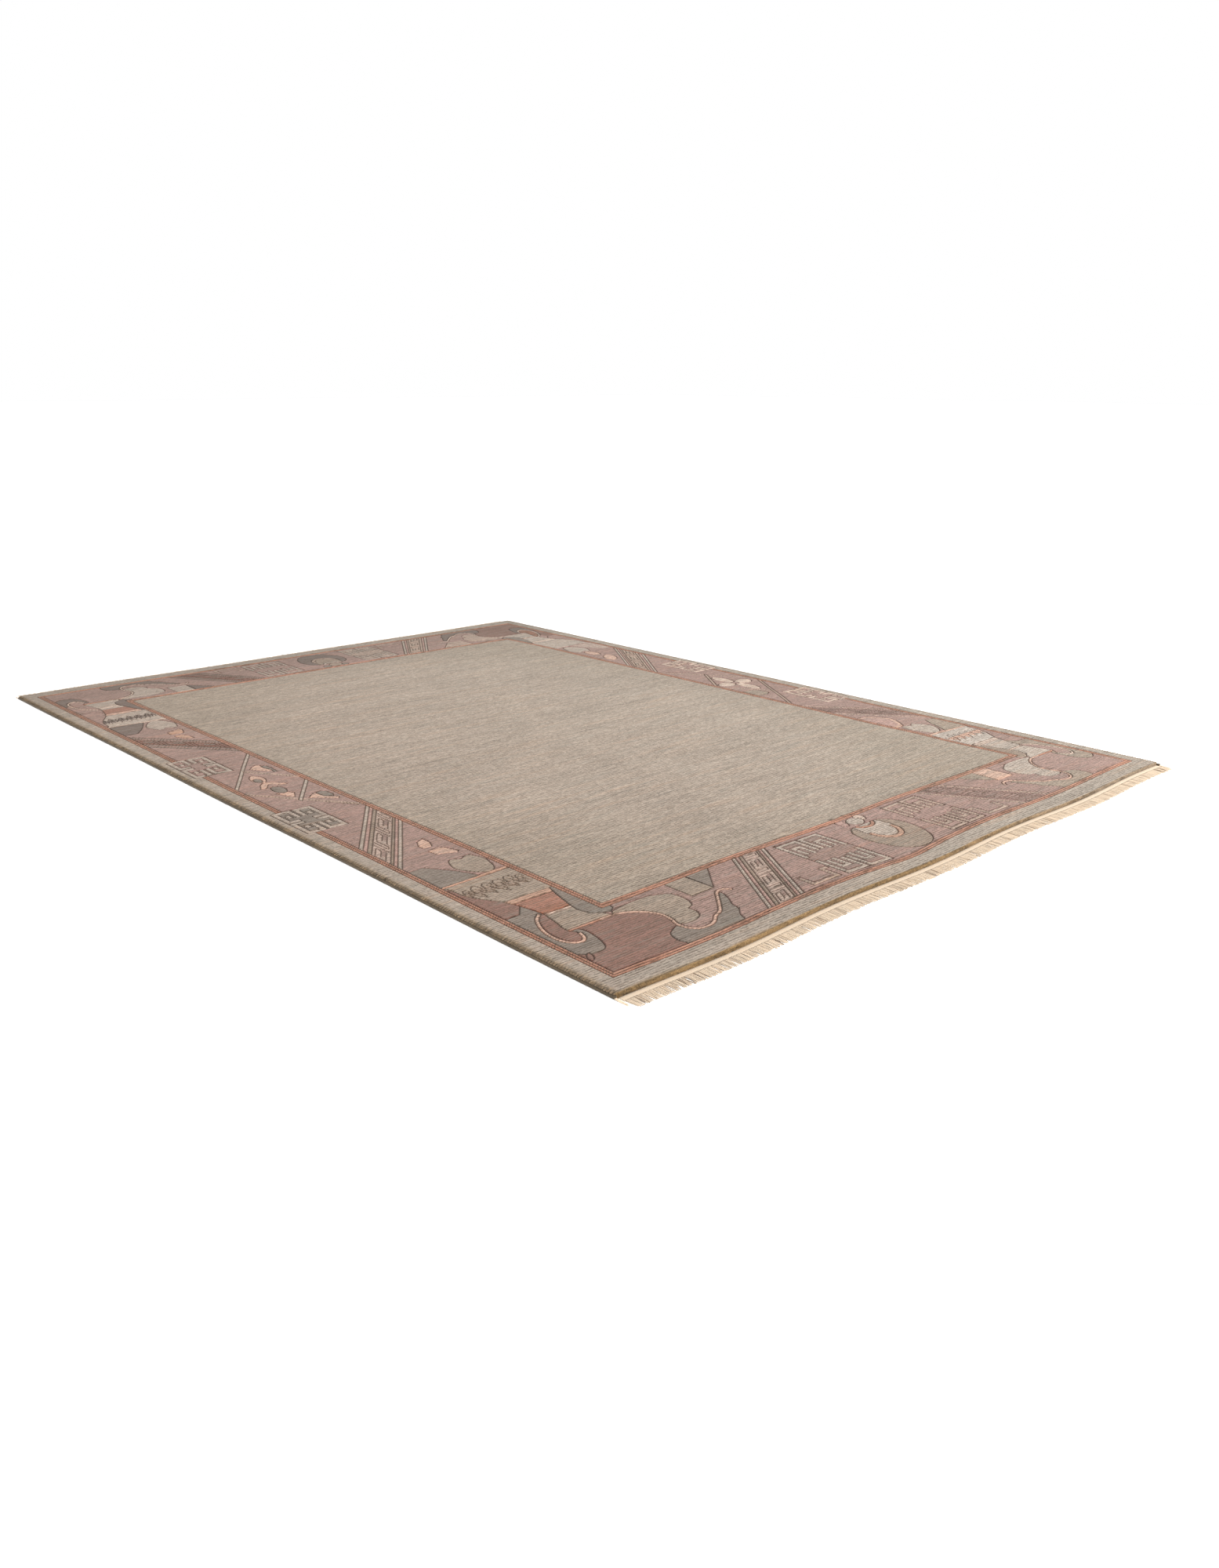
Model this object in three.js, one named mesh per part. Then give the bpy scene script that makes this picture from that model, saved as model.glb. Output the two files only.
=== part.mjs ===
// A hand-knotted wool rug, 2.5 m by 3.5 m, that lies flat on the floor: a thick pile carpet with a carved border,
// an overcast selvedge cord down each long side and a fringed cotton web at each end.
// Millimetres, +Z up, +Y along the rug's length. The origin is on the floor under the middle of the rug.

import * as THREE from 'three';
import { mergeVertices } from 'three/addons/utils/BufferGeometryUtils.js';

// Overall sizes
const HALF_WIDTH = 1250; // to the outside of the selvedges
const HALF_LENGTH = 1750; // to the end of the pile, without the fringe
const HALF_REACH = 1812; // to the tip of the longest fringe strand
const PILE_TOP = 13;
const GAP = 0.3; // between pieces that touch
const CORNER = 12; // how far the pile's corners are cut back

// Selvedge cords, overcast in wool: eight flat sides, one of them on the floor
const CORD_SIDES = 8;
const CORD_RADIUS = 4.1;
const CORD_TIP_RADIUS = 1.4;
const CORD_TAIL = 46; // how far a cord runs on past the pile, beside the fringe
const CORD_FLAT = Math.cos(Math.PI / CORD_SIDES); // distance to a flat side, as a share of the radius
const CORD_HEIGHT = 2 * CORD_RADIUS * CORD_FLAT;

// The pile's flank: how far it is drawn in at each height, on the long sides and at the ends
const CORD_SEAT = CORD_HEIGHT + GAP; // low down, the long sides leave room for the cords
const FLANK = [
  // height, on the long sides, at the ends
  [0, CORD_SEAT, 0],
  [CORD_SEAT, CORD_SEAT, 0],
  [CORD_SEAT + 0.9, 1.2, 0.3],
  [11, 1.6, 2],
  [PILE_TOP, 5, 5.5],
];

// Cotton web and fringe
const WEB_HALF = 1237; // half of the web's length across the rug
const WEB_DEPTH = 18;
const WEB_THICKNESS = 2.6;
const STRANDS = 100; // locks of yarn at each end
const STRAND_LENGTH = 38;
const STRAND_UNEVEN = 7; // how much longer or shorter one may be
const STRAND_LEAN = 3;
const STRAND_SECTIONS = [
  // share of the length, width, height
  [0, 16, 2.2],
  [0.55, 13, 2.5],
  [1, 5, 1.4],
];

// Carving: a V clipped into the pile along the outlines of the pattern
const CARVE_DEPTH = 3;
const CARVE_HALF = 3.2;
const CARVE_TRIM = 7; // how far a line stops short of the line that it runs up to
const CARVE_POINT = 7; // length of its pointed end
const MITRE_LIMIT = 2;
const CURVE_STEP = 32; // length of a straight step along a carved curve

// How the rug's edges wander in its plane. An end's ripple has a height, a length, the place of one crest across the
// width, and the amount by which the left corner lies further out than the middle.
const NEAR_END = { ripple: 6, length: 800, crest: -100, lean: 6 };
const FAR_END = { ripple: 3, length: 1100, crest: 200, lean: 0 };
const LONG_SIDES = { ripple: 2.5, length: 1400 };
// Two places where only the pattern wanders: the outer guard sags at the near end, and the vase, band and fret block
// of the right side lie nearer to the near end than those of the left.
const SAG = { across: -110, half: 130, depth: 11, from: 1450, full: 1640, upTo: 1700 };
const SLIDE = { distance: 28, along: 1450, across: 1225 };
const END_STEP = 125;
const SIDE_STEP = 350;

// Guard lines of the border, from the rug's centre lines: across its width, along its length
const OUTER_GUARD = [[1195, 1687], [1186, 1678], [1177, 1668]];
const INNER_GUARD = [[960, 1388], [950, 1377], [940, 1366]];
const GUARD_BREAK = [226, 466]; // the stretch of the long sides where the fret blocks lie over the outer guard
const BAND_OUT = 1177; // the patterned band's outer edge on the long sides
const BAND_IN = 960; // and its inner edge
const END_OUT = 1668; // the same two at the ends
const END_IN = 1388;

// The pattern's outlines in one quarter of the border. Each row of a table is one point, as its distance from the
// rug's centre lines: across its width, along its length. The other three quarters are mirror images.

// The treasure vase on the long side, by the corner: collar, neck and foot
const COLLAR_MOUTH = [[BAND_IN, 1027], [BAND_OUT, 1035]];
const COLLAR_FOOT = [[1165, 1056], [1162, 1114], [1147, 1150], [1114, 1205], [BAND_IN, 1205]];
const COLLAR_TEETH = { from: 982, to: 1142, top: 1078, bottom: 1142, count: 8 };
const NECK_BAND = [[1106, 1230], [978, 1230]];
const NECK_OUTSIDE = [[1114, 1205], [1100, 1250], [1087, 1327], [1098, 1385], [1107, 1418]];
const NECK_INSIDE = [[970, 1205], [986, 1255], [1005, 1327], [1011, 1350], [1001, 1396], [976, 1413]];
const NECK_BASE = [[1087, 1327], [1005, 1327]];
const SHADE_TOP = [[BAND_OUT, 1295], [1132, 1290], [1100, 1250]];

// The scarf that hooks round the foot of the vase, swings through the corner and ends as a wave
const SCARF_HOOK = [
  [1108, 1330], [1132, 1355], [1150, 1402], [1156, 1452], [1146, 1490], [1124, 1503], [1105, 1489], [1096, 1462],
];
const SCARF_WAVE = [
  [1108, 1438], [1030, 1437], [965, 1437], [930, 1449], [899, 1476], [881, 1510], [883, 1547], [893, 1577],
  [890, 1605], [873, 1626], [846, 1632], [816, 1624], [790, 1605], [762, 1594], [730, 1564], [700, 1532],
  [678, 1511], [655, 1510], [637, 1528],
];
const SCARF_HALF = 6;
const HOOK_SHADE = [
  [BAND_OUT, 1550], [1151, 1567], [1126, 1570], [1102, 1559], [1085, 1520], [1077, 1476], [1080, 1452],
];
const WAVE_SHADE_OUT = [[906, 1589], [926, 1592], [946, 1607], [956, 1640], [950, END_OUT]];
const WAVE_SHADE_IN = [[752, END_OUT], [739, 1640], [716, 1616], [708, 1588], [690, 1562], [674, 1530]];

// The cloud, the square and its corner piece, and the stepped line
const CLOUD = [
  [955, 1418], [905, 1411], [866, 1409], [830, 1411], [803, 1422], [778, 1436], [768, 1463], [771, 1498],
  [785, 1523], [806, 1531], [803, 1553], [816, 1577], [842, 1588], [872, 1588],
];
const SQUARE = [[744, END_IN], [745, 1488], [664, 1488], [668, END_IN]];
const CORNER_PIECE = [[657, 1480], [578, END_IN]];
const STEPPED_LINE = [[457, 1600], [457, 1648], [364, 1648], [364, 1596], [346, 1596]];
const STEPPED_HALF = 6;

// Slanting bands of key fret: the outer edges of their two stripes. The stripes are carved on both edges where the
// slant runs up to the right, and elsewhere only the band's edges are.
const END_BAND = [
  [[664, END_OUT], [482, END_IN]],
  [[522, END_OUT], [354, END_IN]],
];
const SIDE_BAND = {
  right: [[[BAND_OUT, 650], [BAND_IN, 346]], [[BAND_OUT, 860], [BAND_IN, 537]]],
  left: [[[BAND_OUT, 692], [BAND_IN, 420]], [[BAND_OUT, 862], [BAND_IN, 608]]],
};
const STRIPE_WIDTH = 22; // along the rug's width at the ends, and along its length on the sides
const BAND_KEY = [
  // a square hook between the stripes: share of the way along the band, share of the way across it
  [0.1, 0.3], [0.1, 0.72], [0.46, 0.72], [0.46, 0.38], [0.26, 0.38],
];

// Fret blocks of two by two cells, each a square hook
const END_FRET = { across: [330, 160], along: [1408, 1658], gap: 14 };
const SIDE_FRET = { across: [1209, 1087], along: [234, 452], gap: 16 };

// The middle of the ends: a cup with a bowl in it, one half of each outline
const CUP = [[-66, 1448], [-94, 1484], [-104, 1535], [-97, 1592], [-68, 1640], [-34, 1658], [0, 1661]];
const BOWL = [[-52, 1452], [-55, 1500], [-44, 1541], [-22, 1559], [0, 1564]];
const BOWL_BAR = [[-38, 1452], [-22, 1470], [0, 1474]];

// The middle of the long sides: slanting strokes, lobes and leaf-shaped petals
const LONG_STROKE = { right: [[BAND_OUT, 22], [BAND_IN, 328]], left: [[BAND_OUT, 46], [BAND_IN, 378]] };
const SHORT_STROKE = { right: [[1083, 153], [BAND_IN, 8]], left: [[1078, 194], [BAND_IN, 32]] };
const DARK_LOBE = [[BAND_OUT, 886], [1134, 882], [1088, 945], [1066, 990], [1050, 1031]];
const PALE_LOBE = [
  [1018, 896], [1034, 885], [1054, 891], [1068, 915], [1071, 947], [1056, 975], [1036, 1000], [1014, 1014],
  [992, 1004], [976, 975], [972, 940], [975, 910], [986, 890], [1002, 885],
];
const QUARTER_PETALS = [
  // across, along, half length, half width, turn of its long axis from the rug's width in degrees
  { across: 1021, along: 744, half: 27, wide: 17, turn: 110 },
  { across: 1016, along: 818, half: 42, wide: 23, turn: 58 },
  { across: 1000, along: 176, half: 36, wide: 18, turn: 90 },
];
// In the near right quarter one large petal stands for the two beside the lobes.
const LARGE_PETAL = [[974, 888], [1002, 866], [1040, 832], [1056, 795], [1048, 757], [1020, 726], [980, 714]];
// Petals about the middle of the left side, a lotus, and of the right side, a four-petalled flower. Here the second
// number counts from the middle of the rug, below zero at the near end.
const LEFT_PETALS = [
  { across: 1080, along: 98, half: 32, wide: 18, turn: 90 },
  { across: 1070, along: 24, half: 38, wide: 16, turn: 0 },
  { across: 1075, along: -34, half: 26, wide: 18, turn: 90 },
  { across: 1079, along: -98, half: 29, wide: 15, turn: 92 },
];
const RIGHT_PETALS = [
  { across: 1006, along: -10, half: 32, wide: 34, turn: 0 },
  { across: 1112, along: -10, half: 34, wide: 34, turn: 0 },
  { across: 1061, along: 64, half: 36, wide: 24, turn: 90 },
  { across: 1060, along: -86, half: 46, wide: 24, turn: 90 },
];
const PETAL_POINTS = 8;

const SWAP_MARGIN = 1e-6; // radians, so that no diagonal of a face is swapped to and fro

const woolPile = new THREE.MeshStandardMaterial({ color: 0xa69a8a, roughness: 0.95, metalness: 0 });
const overcastWool = new THREE.MeshStandardMaterial({ color: 0x6b6052, roughness: 0.9, metalness: 0 });
const cottonYarn = new THREE.MeshStandardMaterial({ color: 0xe6d9c2, roughness: 0.85, metalness: 0 });

// Above zero where three points turn anticlockwise, as seen from above.
function turn(a, b, c) {
  return (b.x - a.x) * (c.y - a.y) - (b.y - a.y) * (c.x - a.x);
}

// The angle at point b between its directions to a and c.
function angleAt(a, b, c) {
  return new THREE.Vector2(a.x - b.x, a.y - b.y).angleTo(new THREE.Vector2(c.x - b.x, c.y - b.y));
}

// Swaps the diagonals in a level face's triangles until none of them could be less of a splinter.
function evened(triangles, points) {
  const owners = new Map();
  const key = (i, j) => i * points.length + j;
  const own = (t) => t.corners.forEach((i, n) => owners.set(key(i, t.corners[(n + 1) % 3]), t));
  const faces = triangles.map((corners) => ({ corners }));
  faces.forEach(own);
  const queue = [...owners.keys()];
  while (queue.length) {
    const edge = queue.pop();
    const [i, j] = [Math.floor(edge / points.length), edge % points.length];
    const [here, there] = [owners.get(edge), owners.get(key(j, i))];
    if (!here || !there) continue;
    const k = here.corners.find((n) => n !== i && n !== j);
    const l = there.corners.find((n) => n !== i && n !== j);
    const [a, b, c, d] = [i, j, k, l].map((n) => points[n]);
    const convex = turn(c, a, d) > 0 && turn(d, b, c) > 0;
    if (!convex || angleAt(a, c, b) + angleAt(b, d, a) < Math.PI + SWAP_MARGIN) continue;
    owners.delete(edge);
    owners.delete(key(j, i));
    here.corners = [k, i, l];
    there.corners = [l, j, k];
    own(here);
    own(there);
    queue.push(key(i, l), key(l, j), key(j, k), key(k, i));
  }
  return faces.map((t) => t.corners);
}

// A closed body as a list of triangle corners, three for each triangle.
class Body {
  corners = [];

  triangle(a, b, c) {
    if (a !== b && b !== c && c !== a) this.corners.push(a, b, c);
  }

  quad(a, b, c, d) {
    this.triangle(a, b, c);
    this.triangle(a, c, d);
  }

  // The wall between two rings of equally many points that turn anticlockwise as seen from the second.
  wall(low, high) {
    low.forEach((_, i) => {
      const j = (i + 1) % low.length;
      this.quad(low[i], low[j], high[j], high[i]);
    });
  }

  // A fan that closes a ring, facing the side from which it turns anticlockwise, or the other way.
  cap(ring, turned) {
    const hub = ring.reduce((sum, p) => sum.add(p), new THREE.Vector3()).divideScalar(ring.length);
    ring.forEach((p, i) => {
      const q = ring[(i + 1) % ring.length];
      this.triangle(hub, turned ? q : p, turned ? p : q);
    });
  }

  // A level face with holes, facing up.
  face(contour, holes) {
    const points = [contour, ...holes].flat();
    const turned = THREE.ShapeUtils.triangulateShape(contour, holes).map(([i, j, k]) =>
      turn(points[i], points[j], points[k]) > 0 ? [i, j, k] : [i, k, j]
    );
    for (const [i, j, k] of evened(turned, points)) this.triangle(points[i], points[j], points[k]);
  }

  mesh(name, material) {
    const geometry = mergeVertices(new THREE.BufferGeometry().setFromPoints(this.corners));
    geometry.computeVertexNormals();
    const mesh = new THREE.Mesh(geometry, material);
    mesh.name = name;
    return mesh;
  }
}

// The rug's plan

// Where a point of the straight pattern lies on the rug, whose edges wander a little.
function settle(x, y) {
  const end = y < 0 ? NEAR_END : FAR_END;
  const ripple = end.ripple * Math.cos((2 * Math.PI * (x - end.crest)) / end.length);
  const outwards = (ripple - (end.lean * x) / HALF_WIDTH) * (y / HALF_LENGTH) ** 2;
  const swing = (1 - Math.cos((2 * Math.PI * y) / LONG_SIDES.length)) / 2;
  const inwards = LONG_SIDES.ripple * swing * (x / HALF_WIDTH);
  return new THREE.Vector2(x - inwards, y + Math.sign(y) * outwards - sag(x, y) - slide(x, y));
}

// How far the near end's pattern sags outwards at a point.
function sag(x, y) {
  const { smoothstep } = THREE.MathUtils;
  const share = smoothstep(-y, SAG.from, SAG.full) * (1 - smoothstep(-y, SAG.upTo, HALF_LENGTH));
  return SAG.depth * share * Math.exp(-(((x - SAG.across) / SAG.half) ** 2));
}

// How far the right side's pattern lies nearer to the near end at a point.
function slide(x, y) {
  if (x < 0 || x > SLIDE.across || y > 0 || y < -SLIDE.along) return 0;
  return SLIDE.distance * (x / HALF_WIDTH) ** 2 * Math.sin((Math.PI * y) / SLIDE.along) ** 2;
}

// Places from low to high, with those between them at whole steps.
function stations(low, high, step) {
  const places = [low];
  for (let i = Math.floor(low / step) + 1; i * step < high; i++) {
    if (i * step - low > 1) places.push(i * step);
  }
  return [...places, high];
}

const ACROSS = stations(CORNER - HALF_WIDTH, HALF_WIDTH - CORNER, END_STEP);
const ALONG = stations(CORNER - HALF_LENGTH, HALF_LENGTH - CORNER, SIDE_STEP);

// The pile's end, as far out as it lies at a place across the rug, along the straight steps of its outline.
function pileEnd(x, far) {
  const i = Math.max(1, ACROSS.findIndex((place) => place >= x));
  const [from, to] = [settle(ACROSS[i - 1], far * HALF_LENGTH), settle(ACROSS[i], far * HALF_LENGTH)];
  return far * THREE.MathUtils.mapLinear(x, from.x, to.x, from.y, to.y);
}

// One ring round the pile.
function pileRing([z, sideInset, endInset]) {
  const end = (x, far) => settle(x, far * HALF_LENGTH).add(new THREE.Vector2(0, -far * endInset));
  const side = (y, right) => settle(right * HALF_WIDTH, y).add(new THREE.Vector2(-right * sideInset, 0));
  const ring = [
    ...ACROSS.map((x) => end(x, -1)),
    ...ALONG.map((y) => side(y, 1)),
    ...[...ACROSS].reverse().map((x) => end(x, 1)),
    ...[...ALONG].reverse().map((y) => side(y, -1)),
  ];
  return ring.map((p) => new THREE.Vector3(p.x, p.y, z));
}

// Carved lines

// Points along a smooth curve through a table's rows.
function curve(rows) {
  const spline = new THREE.SplineCurve(rows.map(([x, y]) => new THREE.Vector2(x, y)));
  const steps = Math.round(spline.getLength() / CURVE_STEP);
  return spline.getSpacedPoints(steps).map((p) => [p.x, p.y]);
}

// The direction square to a line at each of its points, to its left, lengthened at corners to keep a band's width.
function squares(points, closed) {
  const last = points.length - 1;
  return points.map((point, i) => {
    const before = i > 0 ? points[i - 1] : closed ? points[last] : null;
    const after = i < last ? points[i + 1] : closed ? points[0] : null;
    const into = point.clone().sub(before ?? after).multiplyScalar(before ? 1 : -1).normalize();
    const out = (after ?? before).clone().sub(point).multiplyScalar(after ? 1 : -1).normalize();
    const along = into.clone().add(out).normalize();
    const lengthen = Math.min(1 / along.dot(into), MITRE_LIMIT);
    return new THREE.Vector2(-along.y, along.x).multiplyScalar(lengthen);
  });
}

// A line moved sideways by a distance, to the left of its direction.
function beside(rows, distance) {
  const points = rows.map(([x, y]) => new THREE.Vector2(x, y));
  const left = squares(points, false);
  return points.map((p, i) => p.addScaledVector(left[i], distance)).map((p) => [p.x, p.y]);
}

// A line without the first stretch of its length.
function shortened(points, distance) {
  const [start, next, ...rest] = points;
  const length = start.distanceTo(next);
  if (length > distance) return [start.clone().lerp(next, distance / length), next, ...rest];
  return shortened([next, ...rest], distance - length);
}

// An open line drawn back at both ends, with a point added where its pointed end reaches full width.
function pointed(points) {
  const drawnBack = (line) => {
    const [tip] = shortened(line, CARVE_TRIM);
    return [tip, ...shortened(line, CARVE_TRIM + CARVE_POINT)].reverse();
  };
  return drawnBack(drawnBack(points));
}

// Carves one line into a body. Gives the rims that it leaves in the pile's face: an open line has one, and a closed
// one has an outer and an inner rim.
function carve(body, line, closed) {
  const points = closed ? line : pointed(line);
  const left = squares(points, closed);
  const last = points.length - 1;
  const sections = points.map((p, i) => {
    const at = (share, z) => new THREE.Vector3(p.x + left[i].x * share, p.y + left[i].y * share, z);
    const tip = at(0, PILE_TOP);
    if (!closed && (i === 0 || i === last)) return { left: tip, low: tip, right: tip };
    return { left: at(CARVE_HALF, PILE_TOP), low: at(0, PILE_TOP - CARVE_DEPTH), right: at(-CARVE_HALF, PILE_TOP) };
  });
  for (let i = 0; i < (closed ? points.length : last); i++) {
    const [a, b] = [sections[i], sections[(i + 1) % points.length]];
    body.quad(a.right, b.right, b.low, a.low);
    body.quad(a.low, b.low, b.left, a.left);
  }
  const rights = sections.map((s) => s.right);
  const lefts = sections.map((s) => s.left);
  return closed ? { outer: rights, inner: lefts } : { outer: [...rights, ...lefts.slice(1, -1).reverse()] };
}

// The outer guard's lines, in stretches that stop at the fret blocks of the long sides.
function outerGuardLines([across, along]) {
  const [from, to] = GUARD_BREAK;
  const round = (far) => {
    const corner = [
      ...stations(to, along, SIDE_STEP).slice(0, -1).map((y) => [-across, y]),
      ...stations(-across, across, END_STEP).map((x) => [x, along]),
      ...stations(to, along, SIDE_STEP).slice(0, -1).reverse().map((y) => [across, y]),
    ];
    return corner.map(([x, y]) => settle(x, far * y));
  };
  const middle = (right) => [settle(right * across, -from), settle(right * across, 0), settle(right * across, from)];
  return [round(-1), round(1), middle(-1), middle(1)];
}

// One line of the inner guard, right round the field.
function innerGuardLine([across, along]) {
  const xs = stations(-across, across, END_STEP);
  const ys = stations(-along, along, SIDE_STEP).slice(1, -1);
  return [
    ...xs.map((x) => settle(x, -along)),
    ...ys.map((y) => settle(across, y)),
    ...[...xs].reverse().map((x) => settle(x, along)),
    ...[...ys].reverse().map((y) => settle(-across, y)),
  ];
}

// A leaf shape from a petal's row.
function leaf({ across, along, half, wide, turn }) {
  const angle = THREE.MathUtils.degToRad(turn);
  return Array.from({ length: PETAL_POINTS }, (_, i) => {
    const t = (2 * Math.PI * i) / PETAL_POINTS;
    const [p, q] = [half * Math.cos(t), wide * Math.sin(t)];
    return [
      across + p * Math.cos(angle) - q * Math.sin(angle),
      along + p * Math.sin(angle) + q * Math.cos(angle),
    ];
  });
}

// The zigzag row of teeth on the vase's collar.
function teeth({ from, to, top, bottom, count }) {
  return Array.from({ length: count + 1 }, (_, i) => [from + ((to - from) * i) / count, i % 2 ? bottom : top]);
}

// The carved lines of a slanting band: its edges, two square hooks, and the stripes' inner edges where they show.
function bandLines([low, high], stripes, upright) {
  const shift = (row, amount) => (upright ? [row[0], row[1] + amount] : [row[0] + amount, row[1]]);
  const inner = upright ? STRIPE_WIDTH : -STRIPE_WIDTH;
  const at = (along, across) => {
    const mix = (from, to, share) => from.map((value, k) => value + (to[k] - value) * share);
    return mix(mix(low[0], low[1], along), mix(high[0], high[1], along), across);
  };
  const key = BAND_KEY.map(([along, across]) => at(along, across));
  const turnedKey = BAND_KEY.map(([along, across]) => at(1 - along, 1 - across));
  const edges = [low, high, key, turnedKey];
  return stripes ? [...edges, low.map((row) => shift(row, inner)), high.map((row) => shift(row, -inner))] : edges;
}

// The square hooks of a fret block, mirrored about its middle both ways.
function fretLines({ across, along, gap }) {
  const middle = (pair) => (pair[0] + pair[1]) / 2;
  return across.flatMap((outer) =>
    along.map((end) => {
      const inX = middle(across) + (Math.sign(outer - middle(across)) * gap) / 2;
      const inY = middle(along) + (Math.sign(end - middle(along)) * gap) / 2;
      const bar = (outer + inX) / 2;
      const stop = (end + inY) / 2;
      return [[inX, stop], [inX, end], [outer, end], [outer, inY], [bar, inY], [bar, stop]];
    })
  );
}

// Every carved line of one quarter, for a slant that runs up to the right or not, and for two petals or a large one.
function quarterLines(slantsRight, large) {
  const slant = slantsRight ? 'right' : 'left';
  const [hook, wave] = [SCARF_HOOK, SCARF_WAVE].map(curve);
  const open = [
    COLLAR_MOUTH, COLLAR_FOOT, teeth(COLLAR_TEETH), NECK_BAND, NECK_OUTSIDE, NECK_INSIDE, NECK_BASE, SHADE_TOP,
    ...[hook, wave].flatMap((line) => [beside(line, SCARF_HALF), beside(line, -SCARF_HALF)]),
    ...[HOOK_SHADE, WAVE_SHADE_OUT, WAVE_SHADE_IN, CLOUD].map(curve),
    SQUARE, CORNER_PIECE, beside(STEPPED_LINE, STEPPED_HALF), beside(STEPPED_LINE, -STEPPED_HALF),
    DARK_LOBE, LONG_STROKE[slant], SHORT_STROKE[slant],
    ...bandLines(END_BAND, slantsRight, false), ...bandLines(SIDE_BAND[slant], slantsRight, true),
    ...[END_FRET, SIDE_FRET].flatMap(fretLines),
  ];
  const [first, second, inner] = QUARTER_PETALS.map(leaf);
  const petals = large ? [LARGE_PETAL, inner] : [first, second, inner];
  return { open, closed: [curve([...PALE_LOBE, PALE_LOBE[0]]).slice(0, -1), ...petals] };
}

// Every carved line of the border, placed on the rug. Closed ones turn anticlockwise.
function borderLines() {
  const open = OUTER_GUARD.flatMap(outerGuardLines);
  const closed = [];
  const place = (line, right, far) => line.map(([x, y]) => settle(right * x, far * y));
  const ring = (line) => (THREE.ShapeUtils.isClockWise(line) ? [...line].reverse() : line);
  for (const [right, far] of [[-1, -1], [1, -1], [1, 1], [-1, 1]]) {
    const lines = quarterLines(right * far > 0, right > far);
    open.push(...lines.open.map((line) => place(line, right, far)));
    closed.push(...lines.closed.map((line) => ring(place(line, right, far))));
  }
  for (const [right, petals] of [[-1, LEFT_PETALS], [1, RIGHT_PETALS]]) {
    closed.push(...petals.map((petal) => ring(place(leaf(petal), right, 1))));
  }
  for (const half of [CUP, BOWL, BOWL_BAR]) {
    const whole = curve([...half, ...half.slice(0, -1).reverse().map(([x, y]) => [-x, y])]);
    open.push(place(whole, 1, -1), place(whole, 1, 1));
  }
  return { open, closed };
}

// The pieces

// The pile: a rounded flank all round, a flat underside and a carved face.
function pileCarpet() {
  const body = new Body();
  const rings = FLANK.map(pileRing);
  body.cap(rings[0], true);
  rings.slice(1).forEach((ring, i) => body.wall(rings[i], ring));
  const lines = borderLines();
  const holes = lines.open.map((line) => carve(body, line, false).outer);
  for (const line of lines.closed) {
    const { outer, inner } = carve(body, line, true);
    holes.push(outer);
    body.face(inner, []);
  }
  const guards = INNER_GUARD.map(innerGuardLine).map((line) => carve(body, line, true));
  body.face(rings[rings.length - 1], [...holes, guards[0].outer]);
  guards.forEach(({ inner }, i) => body.face(inner, i + 1 < guards.length ? [guards[i + 1].outer] : []));
  return body.mesh('pile_carpet', woolPile);
}

// The selvedge along one long side, which tapers to a tail beside the fringe at each end.
function selvedge(name, right) {
  const ring = (y) => {
    const past = Math.max(Math.abs(y) - HALF_LENGTH, 0) / CORD_TAIL;
    const radius = THREE.MathUtils.lerp(CORD_RADIUS, CORD_TIP_RADIUS, past);
    const outside = settle(right * HALF_WIDTH, THREE.MathUtils.clamp(y, -HALF_LENGTH, HALF_LENGTH)).x;
    const middle = outside - right * CORD_RADIUS * CORD_FLAT;
    return Array.from({ length: CORD_SIDES }, (_, i) => {
      const angle = (2 * Math.PI * (i + 0.5)) / CORD_SIDES;
      return new THREE.Vector3(middle - radius * Math.cos(angle), y, radius * (CORD_FLAT + Math.sin(angle)));
    });
  };
  const end = HALF_LENGTH + CORD_TAIL;
  const halfway = HALF_LENGTH + CORD_TAIL / 2;
  const rings = [-end, -halfway, ...ALONG, halfway, end].map(ring);
  const body = new Body();
  body.cap(rings[0], true);
  rings.slice(1).forEach((next, i) => body.wall(rings[i], next));
  body.cap(rings[rings.length - 1], false);
  return body.mesh(name, overcastWool);
}

// A strand's small differences from its neighbours, between -1 and 1.
function uneven(i, pace) {
  return Math.sin(i * pace) * Math.cos(i * pace * 0.37 + pace);
}

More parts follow.
